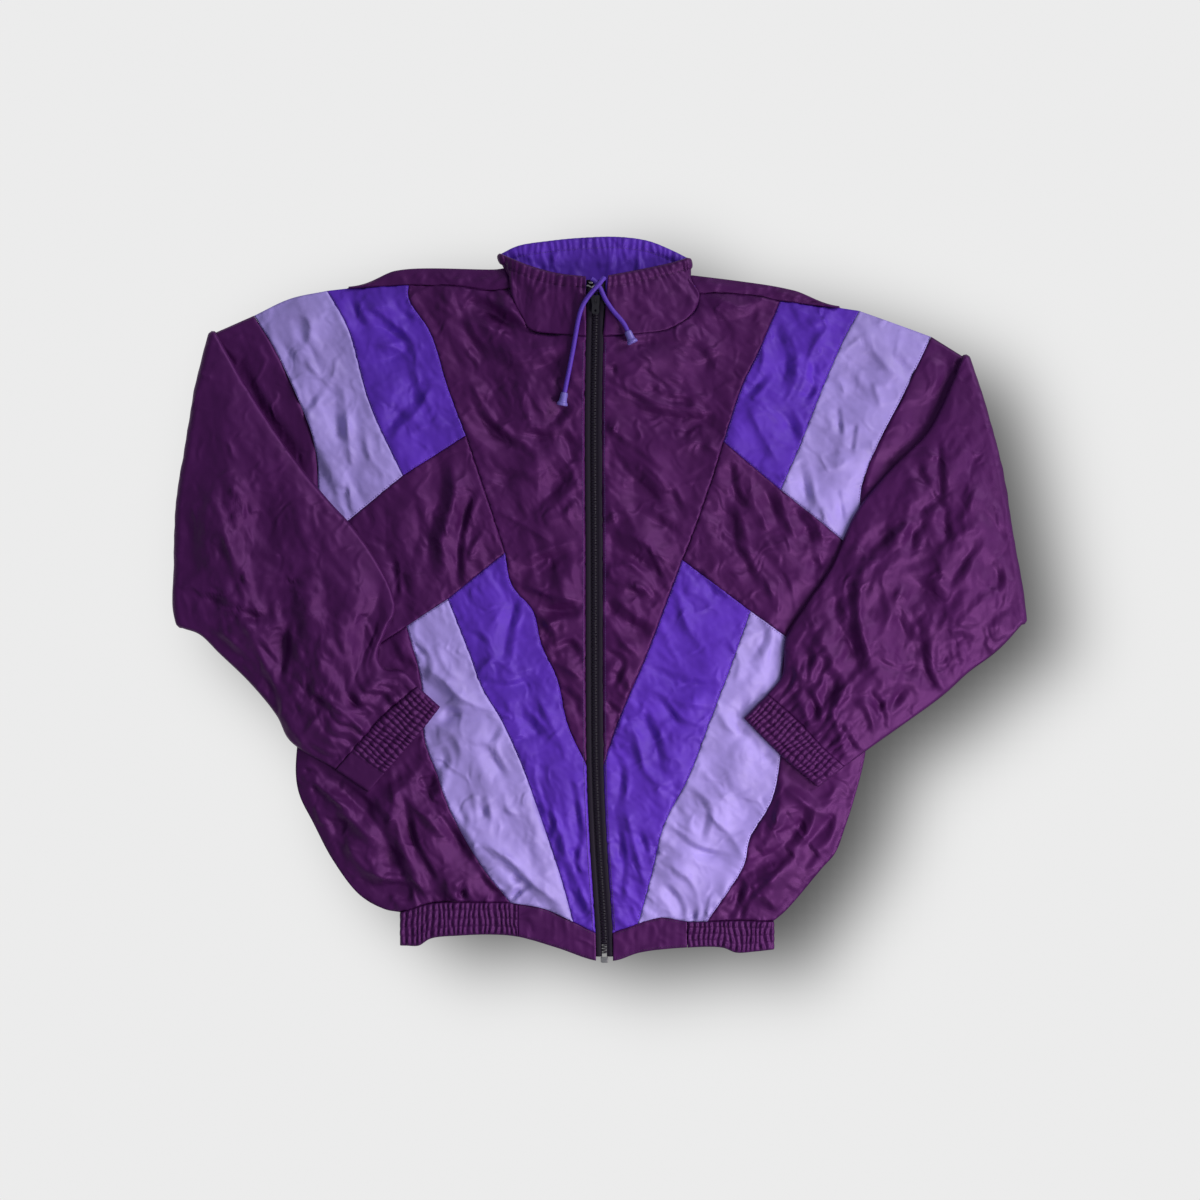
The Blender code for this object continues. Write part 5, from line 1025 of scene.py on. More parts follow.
def make_back():
    """The plate that lies on the floor, and the strips that come over the shoulders."""
    nose = RIM_Z / 2 + CLOTH / 4
    strips = {side: strip_rows(side, RIM_STEP) for side, _ in SIDES}
    wraps = {side: rim + inward * nose for side, (rim, _, inward) in strips.items()}
    flanks = {side: loop_of([f"-side_low_{side}", f"-side_high_{side}", f"-armhole_low_{side}",
                             f"-armhole_top_{side}", *top], RIM_STEP)
              for side, top in (("right", ["lavender_top_right", "violet_top_out_right"]),
                                ("left", ["-lavender_top_left", "-violet_top_out_left"]))}
    loop = np.vstack([
        flanks["right"], wraps["right"], spaced(OUTLINES["neckline"], RIM_STEP), wraps["left"],
        flanks["left"][::-1][:-1], spaced(OUTLINES["hem_back_top"], RIM_STEP)[::-1][:-1],
    ])
    plan, triangles = plan_mesh(loop, BACK_GRID)
    edge = depth(plan, SILHOUETTE)
    points = [np.c_[plan, BACK_Z + 0.9 * (1 - ease(edge / 5.0))]]
    faces = [triangle[::-1] for triangle in triangles]
    for rim, seam, inward in strips.values():
        inner = rim + inward * nose
        crest = np.maximum(front_mid(inner) + SHELL / 2, RIM_Z + SHELL / 2)
        top = front_mid(seam) + SHELL / 2 - SEAM_DIP
        tucked = -1 if seam[-1, 0] < 0 else 0
        crest[tucked], top[tucked] = 4.0, 3.0
        rows = [np.c_[inner, np.full(len(rim), BACK_Z)]]
        for turn in (0.2, 0.4, 0.6, 0.8):
            angle = math.pi * turn
            reach = nose * (1 - math.sin(angle))
            rows.append(np.c_[rim + inward * reach,
                              BACK_Z + (crest - BACK_Z) * (0.5 - 0.5 * math.cos(angle))])
        for share in np.linspace(0, 1, 9):
            place = inner + share * (seam - inner)
            swell = math.sin(math.pi * share)
            level = crest + share * (top - crest) + STRIP_SWELL * swell ** 0.7
            wrinkle = STRIP_CRUMPLE * crumple(place, 0.15, 2.2, 20.0, 71) * swell
            rows.append(np.c_[place, level + wrinkle])
        first = sum(len(block) for block in points)
        points.append(np.vstack(rows))
        faces += [[k + first for k in quad] for quad in grid_faces(len(rows), len(rim), flip=True)]
    piece = new_piece("cloth_back", np.vstack(points), faces, "plum", "back", SHELL)


# The sleeves

def root_rings(side, across, hole, bend):
    """From the armhole out to the fold, beside the body."""
    arch, round_off = np.sin(math.pi * across) ** 0.6, round_ends(across, SLEEVE_EDGE)
    rings = []
    for share in np.linspace(0, 1, detail(26))[:-1]:
        plan = hole + share * (bend - hole)
        top = (front_mid(plan) + SHELL) * (1 - share) + 2 * FOLD_HALF * share
        wrinkle = ROOT_CRUMPLE * crumple(plan, math.radians(ROOT_GRAIN[side]), 2.4, 26.0,
                                         SLEEVE_SEED[side] + 3)
        wrinkle += CREASE_RISE * creases(plan, FRONT_CREASES)
        wrinkle *= math.sin(math.pi * min(share + 0.04, 1.0)) * arch
        dip = SEAM_DIP * math.exp(-share * 40)
        over = np.maximum(top / 2 + wrinkle - dip, ROOT_LOWEST - top / 2)
        rings.append(flat_ring(np.c_[plan, top / 2], UP, over * round_off, (top / 2 - 0.1) * round_off))
    return rings


def turn_rings(side, across, bend, outward):
    """Round the fold at the sleeve's outer edge."""
    arch, half = np.sin(math.pi * across) ** 0.6, FOLD_HALF * round_ends(across, SLEEVE_EDGE)
    rings = []
    for turn in (0.0, 0.12, 0.25, 0.38, 0.5, 0.62, 0.75, 0.88):
        angle = math.pi * turn
        normal = math.sin(angle) * np.r_[outward, 0.0] - math.cos(angle) * UP
        mid = np.c_[bend, np.full(len(bend), FOLD_HALF + FOLD_RHO)] + FOLD_RHO * normal
        ripple = noise(across * 22, turn * 2.0, SLEEVE_SEED[side] + 9) * arch
        rings.append(flat_ring(mid, normal, half + np.maximum(ripple, -1.0) * math.sin(angle), half))
    return rings


def folded_plan(side, across, stations, bend):
    """Plan points of the part that lies on the body: a patch between its four edges."""
    seam = at_shares(smooth_line(OUTLINES[f"cuff_seam_{side}"]), across)
    over, under = (at_shares(smooth_line([tuple(bend[end])] + OUTLINES[f"{name}_{side}"][1:-1]
                                         + [tuple(seam[end])]), stations)
                   for name, end in (("over", 0), ("under", -1)))
    u, a = stations[:, None, None], across[None, :, None]
    plan = (1 - u) * bend + u * seam + (1 - a) * over[:, None] + a * under[:, None]
    return plan - (1 - a) * ((1 - u) * bend[0] + u * seam[0]) - a * ((1 - u) * bend[-1] + u * seam[-1])


def gathers_above_cuff(side, across, s):
    """Uneven pleats that fan out of the cuff's seam."""
    seed = SLEEVE_SEED[side]
    wander = 4.5 * noise(across * 5, s * 2.5, seed) + noise(across * 14, s * 3, seed)
    wave = np.sin(2 * math.pi * GATHERS_ABOVE_CUFF[side] * across + wander)
    wave = wave * (0.65 + 1.1 * noise(across * 7, s * 6 + 3.0, seed + 5))
    fan = 0.07 + 0.09 * (0.5 + noise(across * 11, 0.5, seed + 61))
    return GATHER_RISE * (np.abs(wave) ** 1.3 * np.sign(wave)) * np.exp(-(1 - s) / fan)


def folded_rings(side, across, bend):
    """From the fold over the body to the cuff's seam."""
    arch, round_off = np.sin(math.pi * across) ** 0.6, round_ends(across, SLEEVE_EDGE)
    stations = np.linspace(0, 1, detail(150)) ** 1.05
    plan = folded_plan(side, across, stations, bend)
    flat, shape = plan.reshape(-1, 2), plan.shape[:2]
    lift = sleeve_lift(flat, side).reshape(shape)
    soft_folds = folds(flat, SLEEVE_FOLDS[side]).reshape(shape)
    sharp = CREASE_RISE * creases(flat, SLEEVE_CREASES[side]).reshape(shape)
    rough = crumple(flat, math.radians(SLEEVE_GRAIN[side]), 1.7, 34.0, SLEEVE_SEED[side]).reshape(shape)
    rings = []
    for i, s in enumerate(stations):
        near_fold = float(ease(1.0 - s / 0.16))
        level = lift[i] + (FOLD_LIFT - lift[i]) * near_fold
        half = CLOTH + TUBE_GAP / 2
        half = half + (FOLD_HALF - half) * near_fold
        puff = SLEEVE_PUFF * ease(s / 0.12) * ease((1.0 - s) / 0.1) + 0.8
        crest = puff * arch + soft_folds[i] * arch * ease((1 - s) / 0.12)
        creased = (SLEEVE_CRUMPLE * rough[i] + sharp[i]) * np.sin(math.pi * across) ** 0.35
        crest = crest + creased * ease(s / 0.03) + gathers_above_cuff(side, across, s) * arch
        crest = np.maximum(crest, 0.3 * arch) * (1 - 0.55 * math.exp(-(1 - s) / 0.006))
        over = half * round_off + crest * (1 - near_fold * 0.6)
        rings.append(flat_ring(np.c_[plan[i], level + half], UP, over, half * round_off))
    return rings


def sleeve_rings(side, out_x):
    """Rings of points round the sleeve's tube, station by station from the armhole to the cuff."""
    count = detail(78)
    crowded, even = 0.5 * np.cos(np.linspace(0, math.pi, count)), np.linspace(0, 1, count)
    across = 0.5 - crowded * EDGE_CROWD - (0.5 - even) * (1 - EDGE_CROWD)
    across = (across - across[0]) / (across[-1] - across[0])
    hole = at_shares(outline_of([f"armhole_top_{side}", f"armhole_low_{side}"], 24), across)
    hole = hole + np.array([out_x * SEAM_GAP / 2, 0.0])
    edge = at_shares(smooth_line(OUTLINES[f"fold_{side}"]), across)
    run = edge[-1] - edge[0]
    outward = np.array([-run[1], run[0]]) / np.linalg.norm(run)
    outward *= np.sign(outward[0]) * out_x
    bend = edge - outward * (FOLD_RHO + FOLD_HALF)
    return (root_rings(side, across, hole, bend) + turn_rings(side, across, bend, outward)
            + folded_rings(side, across, bend))


def make_sleeves():
    for side, out_x in SIDES:
        rings = np.array(sleeve_rings(side, out_x))
        stations, rows = rings.shape[:2]
        faces = grid_faces(stations, rows, closed=True, flip=side == "left")
        piece = new_piece(f"cloth_sleeve_{side}", rings.reshape(-1, 3), faces,
                          "plum", f"sleeve_{side}", SHELL)


# Elastic

def shirring(along, share, lines, seed):
    """0 to 1: cloth that an elastic draws together, puffed up between its sewn lines."""
    band = share * lines
    number = np.floor(band)
    puff = np.abs(np.sin(math.pi * (band - number))) ** 0.7
    drift = 0.8 * noise(along / 19.0, share * 1.5 + 3.3, seed)
    drift = drift + 0.28 * noise(along / 6.0, number * 1.3, seed + 1)
    wave = 0.5 + 0.5 * np.cos(2 * math.pi * (along / GATHER_PITCH + drift))
    size = 0.8 + 0.8 * noise(along / 7.0, number * 1.7 + 0.4, seed + 3)
    return puff * (0.25 + 0.75 * wave ** 0.8) * size + 0.22 * wave


def make_cuffs():
    for side, _ in SIDES:
        seam_line, end_line = (smooth_line(OUTLINES[f"cuff_{part}_{side}"]) for part in ("seam", "end"))
        width = length_of(seam_line)
        across = np.linspace(0, 1, int(width / detail(0.85)))
        seam, end = at_shares(seam_line, across), at_shares(end_line, across)
        half = CUFF_HALF * round_ends(across, 0.02)
        smooth_part = 1 - ease((across - CUFF_SMOOTH[side]) / 0.03)
        rings = []
        for share in np.linspace(0, 1, ELASTIC_ROWS):
            plan = seam + share * (end - seam)
            level = sleeve_lift(plan, side) + CUFF_HALF + 0.45
            ruffle = CUFF_RUFFLE * shirring(across * width, share, CUFF_LINES, 41)
            ruffle = ruffle * smooth_part + 0.5 * (1 - smooth_part)
            rim = 1 - 0.8 * math.exp(-(1 - share) / 0.03) - 0.6 * math.exp(-share / 0.03)
            over = half + ruffle * ease(np.minimum(across, 1 - across) / 0.03) * rim
            rings.append(flat_ring(np.c_[plan, level], UP, over, half))
        rings = np.array(rings)
        faces = grid_faces(*rings.shape[:2], closed=True, flip=side == "left")
        piece = new_piece(f"cloth_cuff_{side}", rings.reshape(-1, 3), faces,
                          "plum_rib", f"cuff_{side}", ELASTIC_SHELL)


def band_edges(x, top_line, end_line):
    return tuple(np.interp(x, line[:, 0], line[:, 1]) for line in (top_line, end_line))


def make_hem_flats():
    """The two smooth ends of the waistband beside the zip."""
    shares = np.linspace(0, 1, ELASTIC_ROWS)
    for side, out in SIDES:
        near = float(zip_x(ZIP_HEM_Y)) + out * ZIP_HALF
        grid = []
        for share in np.linspace(0, 1, 46):
            x = near + share * (HEM_FLAT_END[side] - near)
            top_y, end_y = band_edges(x, HEM_TOP_LINE, HEM_END_LINE)
            y = top_y + shares * (end_y - top_y)
            columns = x + (1 - share) * (zip_x(y) - zip_x(ZIP_HEM_Y))
            edge = np.minimum(shares, 1 - shares) * (top_y - end_y)
            z = HEM_Z + BAND_HALF - 1.1 * np.exp(-edge / 1.4)
            z += 0.7 * noise(columns / 14.0, y / 14.0, 5) + 0.5 * noise(columns / 5.0, y / 22.0, 6)
            grid.append(np.c_[columns, y, z])
        piece = new_piece(f"cloth_hem_flat_{side}", np.vstack(grid),
                          grid_faces(len(grid), ELASTIC_ROWS, flip=out > 0),
                          "plum", f"hem_flat_{side}", 1.0)


def band_stations():
    """x, height and outward direction of each station round the elastic waistband, and its turns."""
    low_x, high_x = HEM_ENDS_X
    radius, middle = (HEM_Z - BAND_HALF) / 2, (HEM_Z + BAND_HALF) / 2
    low_turn, high_turn = low_x + radius, high_x - radius
    step = detail(0.9)
    turns = np.linspace(0.1, 0.9, 7)

    def turned(centre, way, turn):
        out, up = way * math.sin(math.pi * turn), math.cos(math.pi * turn)
        return centre + radius * out, middle + radius * up, out, up

    return (
        [(x, HEM_Z, 0.0, 1.0) for x in np.arange(HEM_FLAT_END["right"], low_turn, -step)]
        + [turned(low_turn, -1.0, turn) for turn in turns]
        + [(x, BAND_HALF, 0.0, -1.0) for x in np.linspace(low_turn, high_turn, 90)]
        + [turned(high_turn, 1.0, turn) for turn in turns[::-1]]
        + [(x, HEM_Z, 0.0, 1.0) for x in np.arange(high_turn, HEM_FLAT_END["left"], -step)])


def make_hem_elastic():
    """The gathered waistband, from the front right round the back to the front left."""
    back_top, back_end = smooth_line(OUTLINES["hem_back_top"]), smooth_line(OUTLINES["hem_back_end"])
    shares = np.linspace(0, 1, ELASTIC_ROWS)
    rim = 1 - 0.8 * np.exp(-shares / 0.03) - 0.8 * np.exp(-(1 - shares) / 0.03)
    grid = []
    for x, z, out, up in band_stations():
        front = float(ease((z - BAND_HALF) / (HEM_Z - BAND_HALF)))
        inside_x = min(max(x, HEM_ENDS_X[0]), HEM_ENDS_X[1])
        front_y = band_edges(inside_x, HEM_TOP_LINE, HEM_END_LINE)
        back_y = band_edges(inside_x, back_top, back_end)
        start, finish = (b + (f - b) * front for f, b in zip(front_y, back_y))
        ruffle = HEM_RUFFLE * shirring(x, shares, HEM_LINES, 47) * max(up, 0.0)
        reach = BAND_HALF * 0.9 + ruffle * rim
        grid.append(np.c_[x + out * reach, start + shares * (finish - start), z + up * reach])
    piece = new_piece("cloth_hem_elastic", np.vstack(grid), grid_faces(len(grid), ELASTIC_ROWS),
                      "plum_rib", "hem_elastic", ELASTIC_SHELL)


# The collar

def collar_stations(step):
    """Base point, top point, normal and radius of each station round the collar."""
    back_base = OUTLINES["collar_back_base"]
    right_base = smooth_line(SEAMS["collar_base_right"][::-1] + [back_base[0]])
    left_base = smooth_line([back_base[-1]] + SEAMS["collar_base_left"][::-1])
    stretches = [
        (beside(right_base, -COLLAR_BASE_GAP), "collar_front_top_right", 1.0),
        (smooth_line(back_base), "collar_back_top", -1.0),
        (beside(left_base, -COLLAR_BASE_GAP), "collar_front_top_left", 1.0),
    ]
    stations = []
    for number, (base_line, top_name, facing) in enumerate(stretches):
        top_line = smooth_line(OUTLINES[top_name])
        count = int(length_of(top_line) / step)
        shares = np.linspace(0, 1, count + 1)
        base, top = at_shares(base_line, shares), at_shares(top_line, shares)
        radius = np.full(len(base), COLLAR_RADIUS)
        if facing > 0:
            radius = np.maximum(radius, front_mid(base) + CLOTH / 2 - COLLAR_RADIUS)
        if number:
            across = top[0] - base[0]
            out = (-1.0 if number == 1 else 1.0) * unit(np.array([across[1], -across[0]]))
            for turn in np.linspace(0.12, 0.88, 6):
                angle = math.pi * (turn if number == 1 else 1.0 - turn)
                normal = np.r_[out * math.sin(angle), math.cos(angle)]
                stations.append((base[0], top[0], normal, COLLAR_RADIUS))
        stations += [(base[k], top[k], facing * UP, radius[k]) for k in range(count + 1)]
    return stations


def make_collar():
    """The plum outer layer and the violet inner one, gathered along the drawstring's tunnel."""
    rows = detail(34)
    stations = collar_stations(detail(1.5))
    distances = distances_along(np.array([top for _, top, _, _ in stations]))
    shares = np.linspace(0, 1, rows)
    grids = {"collar_outer": [], "collar_inner": []}
    for along, (base, top, normal, radius) in zip(distances, stations):
        height = np.linalg.norm(top - base)
        tunnel = 1 - COLLAR_TUNNEL / height
        gather = np.cos(2 * math.pi * (along / COLLAR_PITCH + 0.9 * noise(along / 13.0, shares * 2.0, 51)))
        gather *= 0.75 + 0.8 * noise(along / 10.0, 4.0, 58)
        gather = gather * np.exp(-np.abs(shares - tunnel) / 0.17) + 0.5 * gather * (shares > tunnel)
        below = np.sin(math.pi * np.clip(shares / tunnel, 0, 1)) ** 0.6
        patch = np.c_[np.full(rows, along), shares * height]
        swell = 0.85 * gather - 1.1 * np.exp(-((shares - tunnel) * height / 1.1) ** 2)
        swell += below * (3.6 * noise(along / 17.0, shares, 53) + 4.2 * crumple(patch, 1.35, 2.2, 20.0, 55))
        swell += 1.3 * np.sin(math.pi * np.clip((shares - tunnel) / (1 - tunnel), 0, 1))
        swell = swell * ease(shares / 0.06) - 0.8 * np.exp(-shares * height / 1.4)
        turn = np.clip((shares - (1 - COLLAR_TURN / height)) * height / COLLAR_TURN, 0, 1)
        inset = (COLLAR_LAYER * 0.9) * (1 - np.sqrt(1 - turn ** 2))
        lean = COLLAR_LEAN if normal[2] == 1.0 else 0.0
        front = ease(0.5 + 1.5 * normal[2])
        middle = radius - COLLAR_LAYER / 2 + lean * shares
        outer = middle + COLLAR_LAYER / 2 + swell * front - inset * (1 - 0.5 * (1 - front))
        inner = middle - COLLAR_LAYER / 2 - swell * (1 - front)
        gap = 0.7 * (1 - 0.8 * turn)
        if front > 0.5:
            inner = np.minimum(inner, outer - gap)
        else:
            inner = np.minimum(inner, COLLAR_LOWEST - gap)
            outer = np.maximum(outer, inner + gap)
        if normal[2] < 0:
            outer = np.minimum(outer, COLLAR_LOWEST)
        plan = base + shares[:, None] * (top - base)
        for name, reach in (("collar_outer", outer), ("collar_inner", inner)):
            grids[name].append(np.c_[plan, np.full(rows, COLLAR_RADIUS)] + normal * reach[:, None])
    for name, cloth in (("collar_outer", "plum"), ("collar_inner", "violet")):
        grid = grids[name]
        piece = new_piece(f"cloth_{name}", np.vstack(grid), grid_faces(len(grid), rows),
                          cloth, name, COLLAR_SHELL)


# The zip

def zip_level(y):
    return front_mid(np.c_[zip_x(y), y])


def make_zip():
    tapes = {}
    y = np.linspace(ZIP_TOP_Y, ZIP_END_Y, 420)
    centre, level = zip_x(y), zip_level(y)
    for name, side in SIDES:
        reaches = np.r_[np.linspace(COIL_HALF - 0.3, ZIP_HALF - 0.3, 8), ZIP_HALF + 0.5, ZIP_HALF + 1.2]
        profile = 0.35 - 0.9 * np.exp(-((reaches - COIL_HALF - 0.4) / 0.8) ** 2)
        profile -= 0.5 * ease((reaches - 6.6) / 2.0) + 1.6 * ease((reaches - ZIP_HALF + 0.3) / 1.2)
        grid = [np.c_[x + side * reaches, np.full(len(reaches), at), z + profile]
                for x, at, z in zip(centre, y, level)]
        faces = grid_faces(len(grid), len(reaches), flip=side < 0)
        piece = new_piece(f"tape_{name}", np.vstack(grid), faces,
                          "zip_tape", f"zip_tape_{name}", SHELL)
        tapes[f"front_centre_{name}"] = [piece]
    make_coil()
    make_top_stop()
    return tapes


def make_coil():
    """Rows of interlocked coil teeth, each a small rounded bar across the zip's middle."""
    y = np.arange(ZIP_TOP_Y - 2, ZIP_END_Y + 3, -TOOTH_PITCH)
    sides = 6
    ring = [(math.cos(a), math.sin(a)) for a in np.linspace(0, 2 * math.pi, sides, endpoint=False)]
    points, faces = [], []
    centre, level = zip_x(y), zip_level(y)
    slope = np.gradient(centre, y)
    for k in range(len(y)):
        first = len(points)
        lean = 0.25 * (1 if k % 2 else -1)
        for x, fat, drop in TOOTH_PROFILE:
            mid_x = centre[k] + x * COIL_HALF * 0.97
            mid_y = y[k] + lean * x - slope[k] * x * COIL_HALF
            for cy, cz in ring:
                points.append((mid_x, mid_y + 0.72 * fat * cy, level[k] + 0.25 - drop + 0.62 * fat * cz))
        faces += bar_faces(first, len(TOOTH_PROFILE), sides)
        faces.append([first + j for j in range(sides)])
        faces.append([len(points) - sides + j for j in reversed(range(sides))])
    new_piece("coil", points, faces, "zip_tooth", "zip_coil")


def make_top_stop():
    """The small bent metal stop that shows on the tape above the slider."""
    line = smooth_line(TOP_STOP, 5)
    line = np.c_[line, zip_level(line[:, 1]) + 1.5]
    ahead = np.gradient(line, axis=0)
    ahead /= np.linalg.norm(ahead, axis=1, keepdims=True)
    across = np.cross(ahead, UP)
    across /= np.linalg.norm(across, axis=1, keepdims=True)
    rise = np.cross(across, ahead)
    fat = 0.95 * np.sqrt(np.clip(1.02 - np.linspace(-1, 1, len(line)) ** 8, 0.02, 1))
    turns = np.linspace(0, 2 * math.pi, 9)[:-1]
    out, up = np.cos(turns)[:, None], np.sin(turns)[:, None]
    rings = [line[k] + fat[k] * (out * across[k] + 0.7 * up * rise[k]) for k in range(len(line))]
    new_piece("top_stop", np.vstack(rings), grid_faces(len(rings), len(turns), closed=True),
              "bright_metal")


# Stitching

def sew(name, kind, pieces, courses):
    """Small raised stitches laid on the upper face of the pieces along each course of (x, y) points."""
    thread, pitch, long, thick = STITCHES[kind]
    trees = [BVHTree.FromPolygons([v.co for v in piece.data.vertices],
                                  [tuple(face.vertices) for face in piece.data.polygons])
             for piece in (CLOTHS[f"cloth_{piece}"] for piece in pieces)]
    points, faces = [], []
    for course in courses:
        count = max(2, int(length_of(course) / pitch))
        middles = at_shares(course, (np.arange(count) + 0.5) / count)
        for (x, y), run in zip(middles, np.gradient(middles, axis=0)):
            hits = [tree.ray_cast(Vector((x * MM, y * MM, 0.1)), Vector((0, 0, -1))) for tree in trees]
            hits = [hit for hit in hits if hit[0] is not None]
            if not hits:
                continue
            place, normal = max(hits, key=lambda hit: hit[0].z)[:2]
            place, normal = np.array(place) / MM, np.array(normal)
            normal = normal if normal[2] > 0 else -normal
            ahead = np.r_[run, 0.0]
            ahead = unit(ahead - normal * (ahead @ normal))
            side = np.cross(normal, ahead)
            first = len(points)
            for end, fat in STITCH_PROFILE:
                spot = place + ahead * (end * long) + normal * 0.12
                for across, up in STITCH_SECTION:
                    points.append(spot + side * (across * thick * fat) + normal * (up * thick * fat))
            faces += bar_faces(first, len(STITCH_PROFILE), len(STITCH_SECTION))
    if points:
        new_piece(name, points, faces, thread)


# The drawstring

def make_stopper(name, start, ahead):
    """The moulded stopper on a drawstring's end: its profile turned round the cord's direction."""
    across = unit(np.cross(ahead, UP))
    rise = np.cross(across, ahead)
    angles = np.linspace(0, 2 * math.pi, 28, endpoint=False)
    profile = smooth_line([(0.0, 0.6)] + STOPPER_PROFILE + [(13.3, 0.8)], 3)
    rings = [[start + ahead * (0.2 + a) + r * (math.cos(t) * across + math.sin(t) * rise) for t in angles]
             for a, r in profile]
    sides, last = len(angles), (len(rings) - 1) * len(angles)
    faces = grid_faces(len(rings), sides, closed=True)
    faces += [list(range(sides)), [last + k for k in reversed(range(sides))]]
    return new_piece(f"end_{name}", np.vstack(rings), faces, "stopper", f"stopper_{name}")


def make_cords():
    for name, route in CORD_ROUTES.items():
        line = smooth_line(route, 6)
        curve = bpy.data.curves.new(f"cord_{name}", "CURVE")
        curve.dimensions = "3D"
        curve.bevel_depth = CORD_RADIUS * MM
        curve.bevel_resolution = 6
        curve.use_fill_caps = True
        spline = curve.splines.new("POLY")
        spline.points.add(len(line) - 1)
        for spot, point in zip(spline.points, line):
            spot.co = (*(point * MM), 1.0)
        curve.materials.append(MATERIALS["cord"])
        cord = bpy.data.objects.new(f"cord_{name}", curve)
        bpy.context.scene.collection.objects.link(cord)
        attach(cord, JACKET)
        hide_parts(f"drawstring_{name}")
        stopper = make_stopper(name, line[-1], unit(line[-1] - line[-2]))


# The stitched seams

def tunnel_course(facing):
    """The line sewn below the drawstring's tunnel, on the collar's front (1) or back (-1) half."""
    course = []
    for base, top, normal, _ in collar_stations(4.0):
        if normal[2] == facing:
            down = base[:2] - top[:2]
            course.append(top[:2] + down * COLLAR_TUNNEL / np.linalg.norm(down))
    return np.array(course)


def make_stitching():
    """Topstitching beside the zip and the dashed seams round the colour blocks."""
    for side, out in SIDES:
        y = np.linspace(ZIP_TOP_Y - 62, ZIP_HEM_Y + 2, 120)
        sew(f"stitch_zip_{side}", "zip", [f"front_centre_{side}", f"lower_violet_{side}"],
            [np.c_[zip_x(y) + out * (ZIP_HALF + 2.6), y]])
        for block, seams in BLOCK_SEAMS.items():
            name = f"{block}_{side}"
            loop = loop_of(PANELS[name][1], 6.0)
            inner = []
            for seam in seams:
                course = smooth_line(SEAMS[f"{seam}_{side}"], 8)
                moved = beside(course, BLOCK_STITCH_INSET)
                if np.median(depth(moved, loop)) <= 0:
                    moved = beside(course, -BLOCK_STITCH_INSET)
                inner.append(moved)
            sew(f"stitch_{name}", "block", [name], inner)
        over = smooth_line(OUTLINES[f"over_{side}"], 8)
        over = over[: int(len(over) * SLEEVE_STITCHED[side])]
        sew(f"stitch_sleeve_{side}", "sleeve", [f"sleeve_{side}"],
            [beside(over, SLEEVE_STITCH_INSET[side])])
        shares = np.linspace(0.02, 0.98, 60)
        seam, end = (at_shares(smooth_line(OUTLINES[f"cuff_{part}_{side}"]), shares)
                     for part in ("seam", "end"))
        rows = [seam + k / CUFF_LINES * (end - seam) for k in range(1, CUFF_LINES)]
        sew(f"stitch_cuff_{side}", "cuff", [f"cuff_{side}"], rows)
        near = float(zip_x(ZIP_HEM_Y)) + out * (ZIP_HALF + 3)
        x = np.linspace(near, HEM_FLAT_END[side] - out * 2, 60)
        top_y, end_y = band_edges(x, HEM_TOP_LINE, HEM_END_LINE)
        rows = [np.c_[x, top_y - HEM_STITCH_INSET], np.c_[x, end_y + HEM_STITCH_INSET]]
        sew(f"stitch_hem_{side}", "hem", [f"hem_flat_{side}"], rows)
    front = tunnel_course(1.0)
    half = int(np.argmax(steps_of(front))) + 1
    sew("stitch_tunnel", "tunnel", ["collar_outer"], [front[:half], front[half:]])
    sew("stitch_tunnel_inside", "tunnel_inside", ["collar_inner"], [tunnel_course(-1.0)])


# Materials

def new_material(name):
    """A material, its nodes and its shader."""
    material = bpy.data.materials.new(name)
    material.use_nodes = True
    return material, material.node_tree, material.node_tree.nodes["Principled BSDF"]


def set_inputs(node, values):
    for name, value in values.items():
        node.inputs[name].default_value = value


def add_node(tree, kind, values, **sources):
    """A node with its inputs set; each source feeds the input of its name."""
    node = tree.nodes.new(kind)
    set_inputs(node, values)
    for name, source in sources.items():
        tree.links.new(source, node.inputs[name])
    return node


def grain_node(tree, scale, **values):
    """Noise in the piece's own frame."""
    place = next((node for node in tree.nodes if node.type == "TEX_COORD"), None)
    place = place or tree.nodes.new("ShaderNodeTexCoord")
    return add_node(tree, "ShaderNodeTexNoise", {"Scale": scale, **values}, Vector=place.outputs["Object"])


def tint_and_gloss(tree, shader, factor, ramp, gloss):
    """Lets a noise vary the colour between two of a ramp, and the roughness between two values."""
    tint = add_node(tree, "ShaderNodeValToRGB", {}, Fac=factor)
    for element, (position, colour) in zip(tint.color_ramp.elements, ramp):
        element.position = position
        element.color = (*colour, 1.0)
    rough = add_node(tree, "ShaderNodeMapRange", {"To Min": gloss[0], "To Max": gloss[1]}, Value=factor)
    tree.links.new(tint.outputs["Color"], shader.inputs["Base Color"])
    tree.links.new(rough.outputs["Result"], shader.inputs["Roughness"])


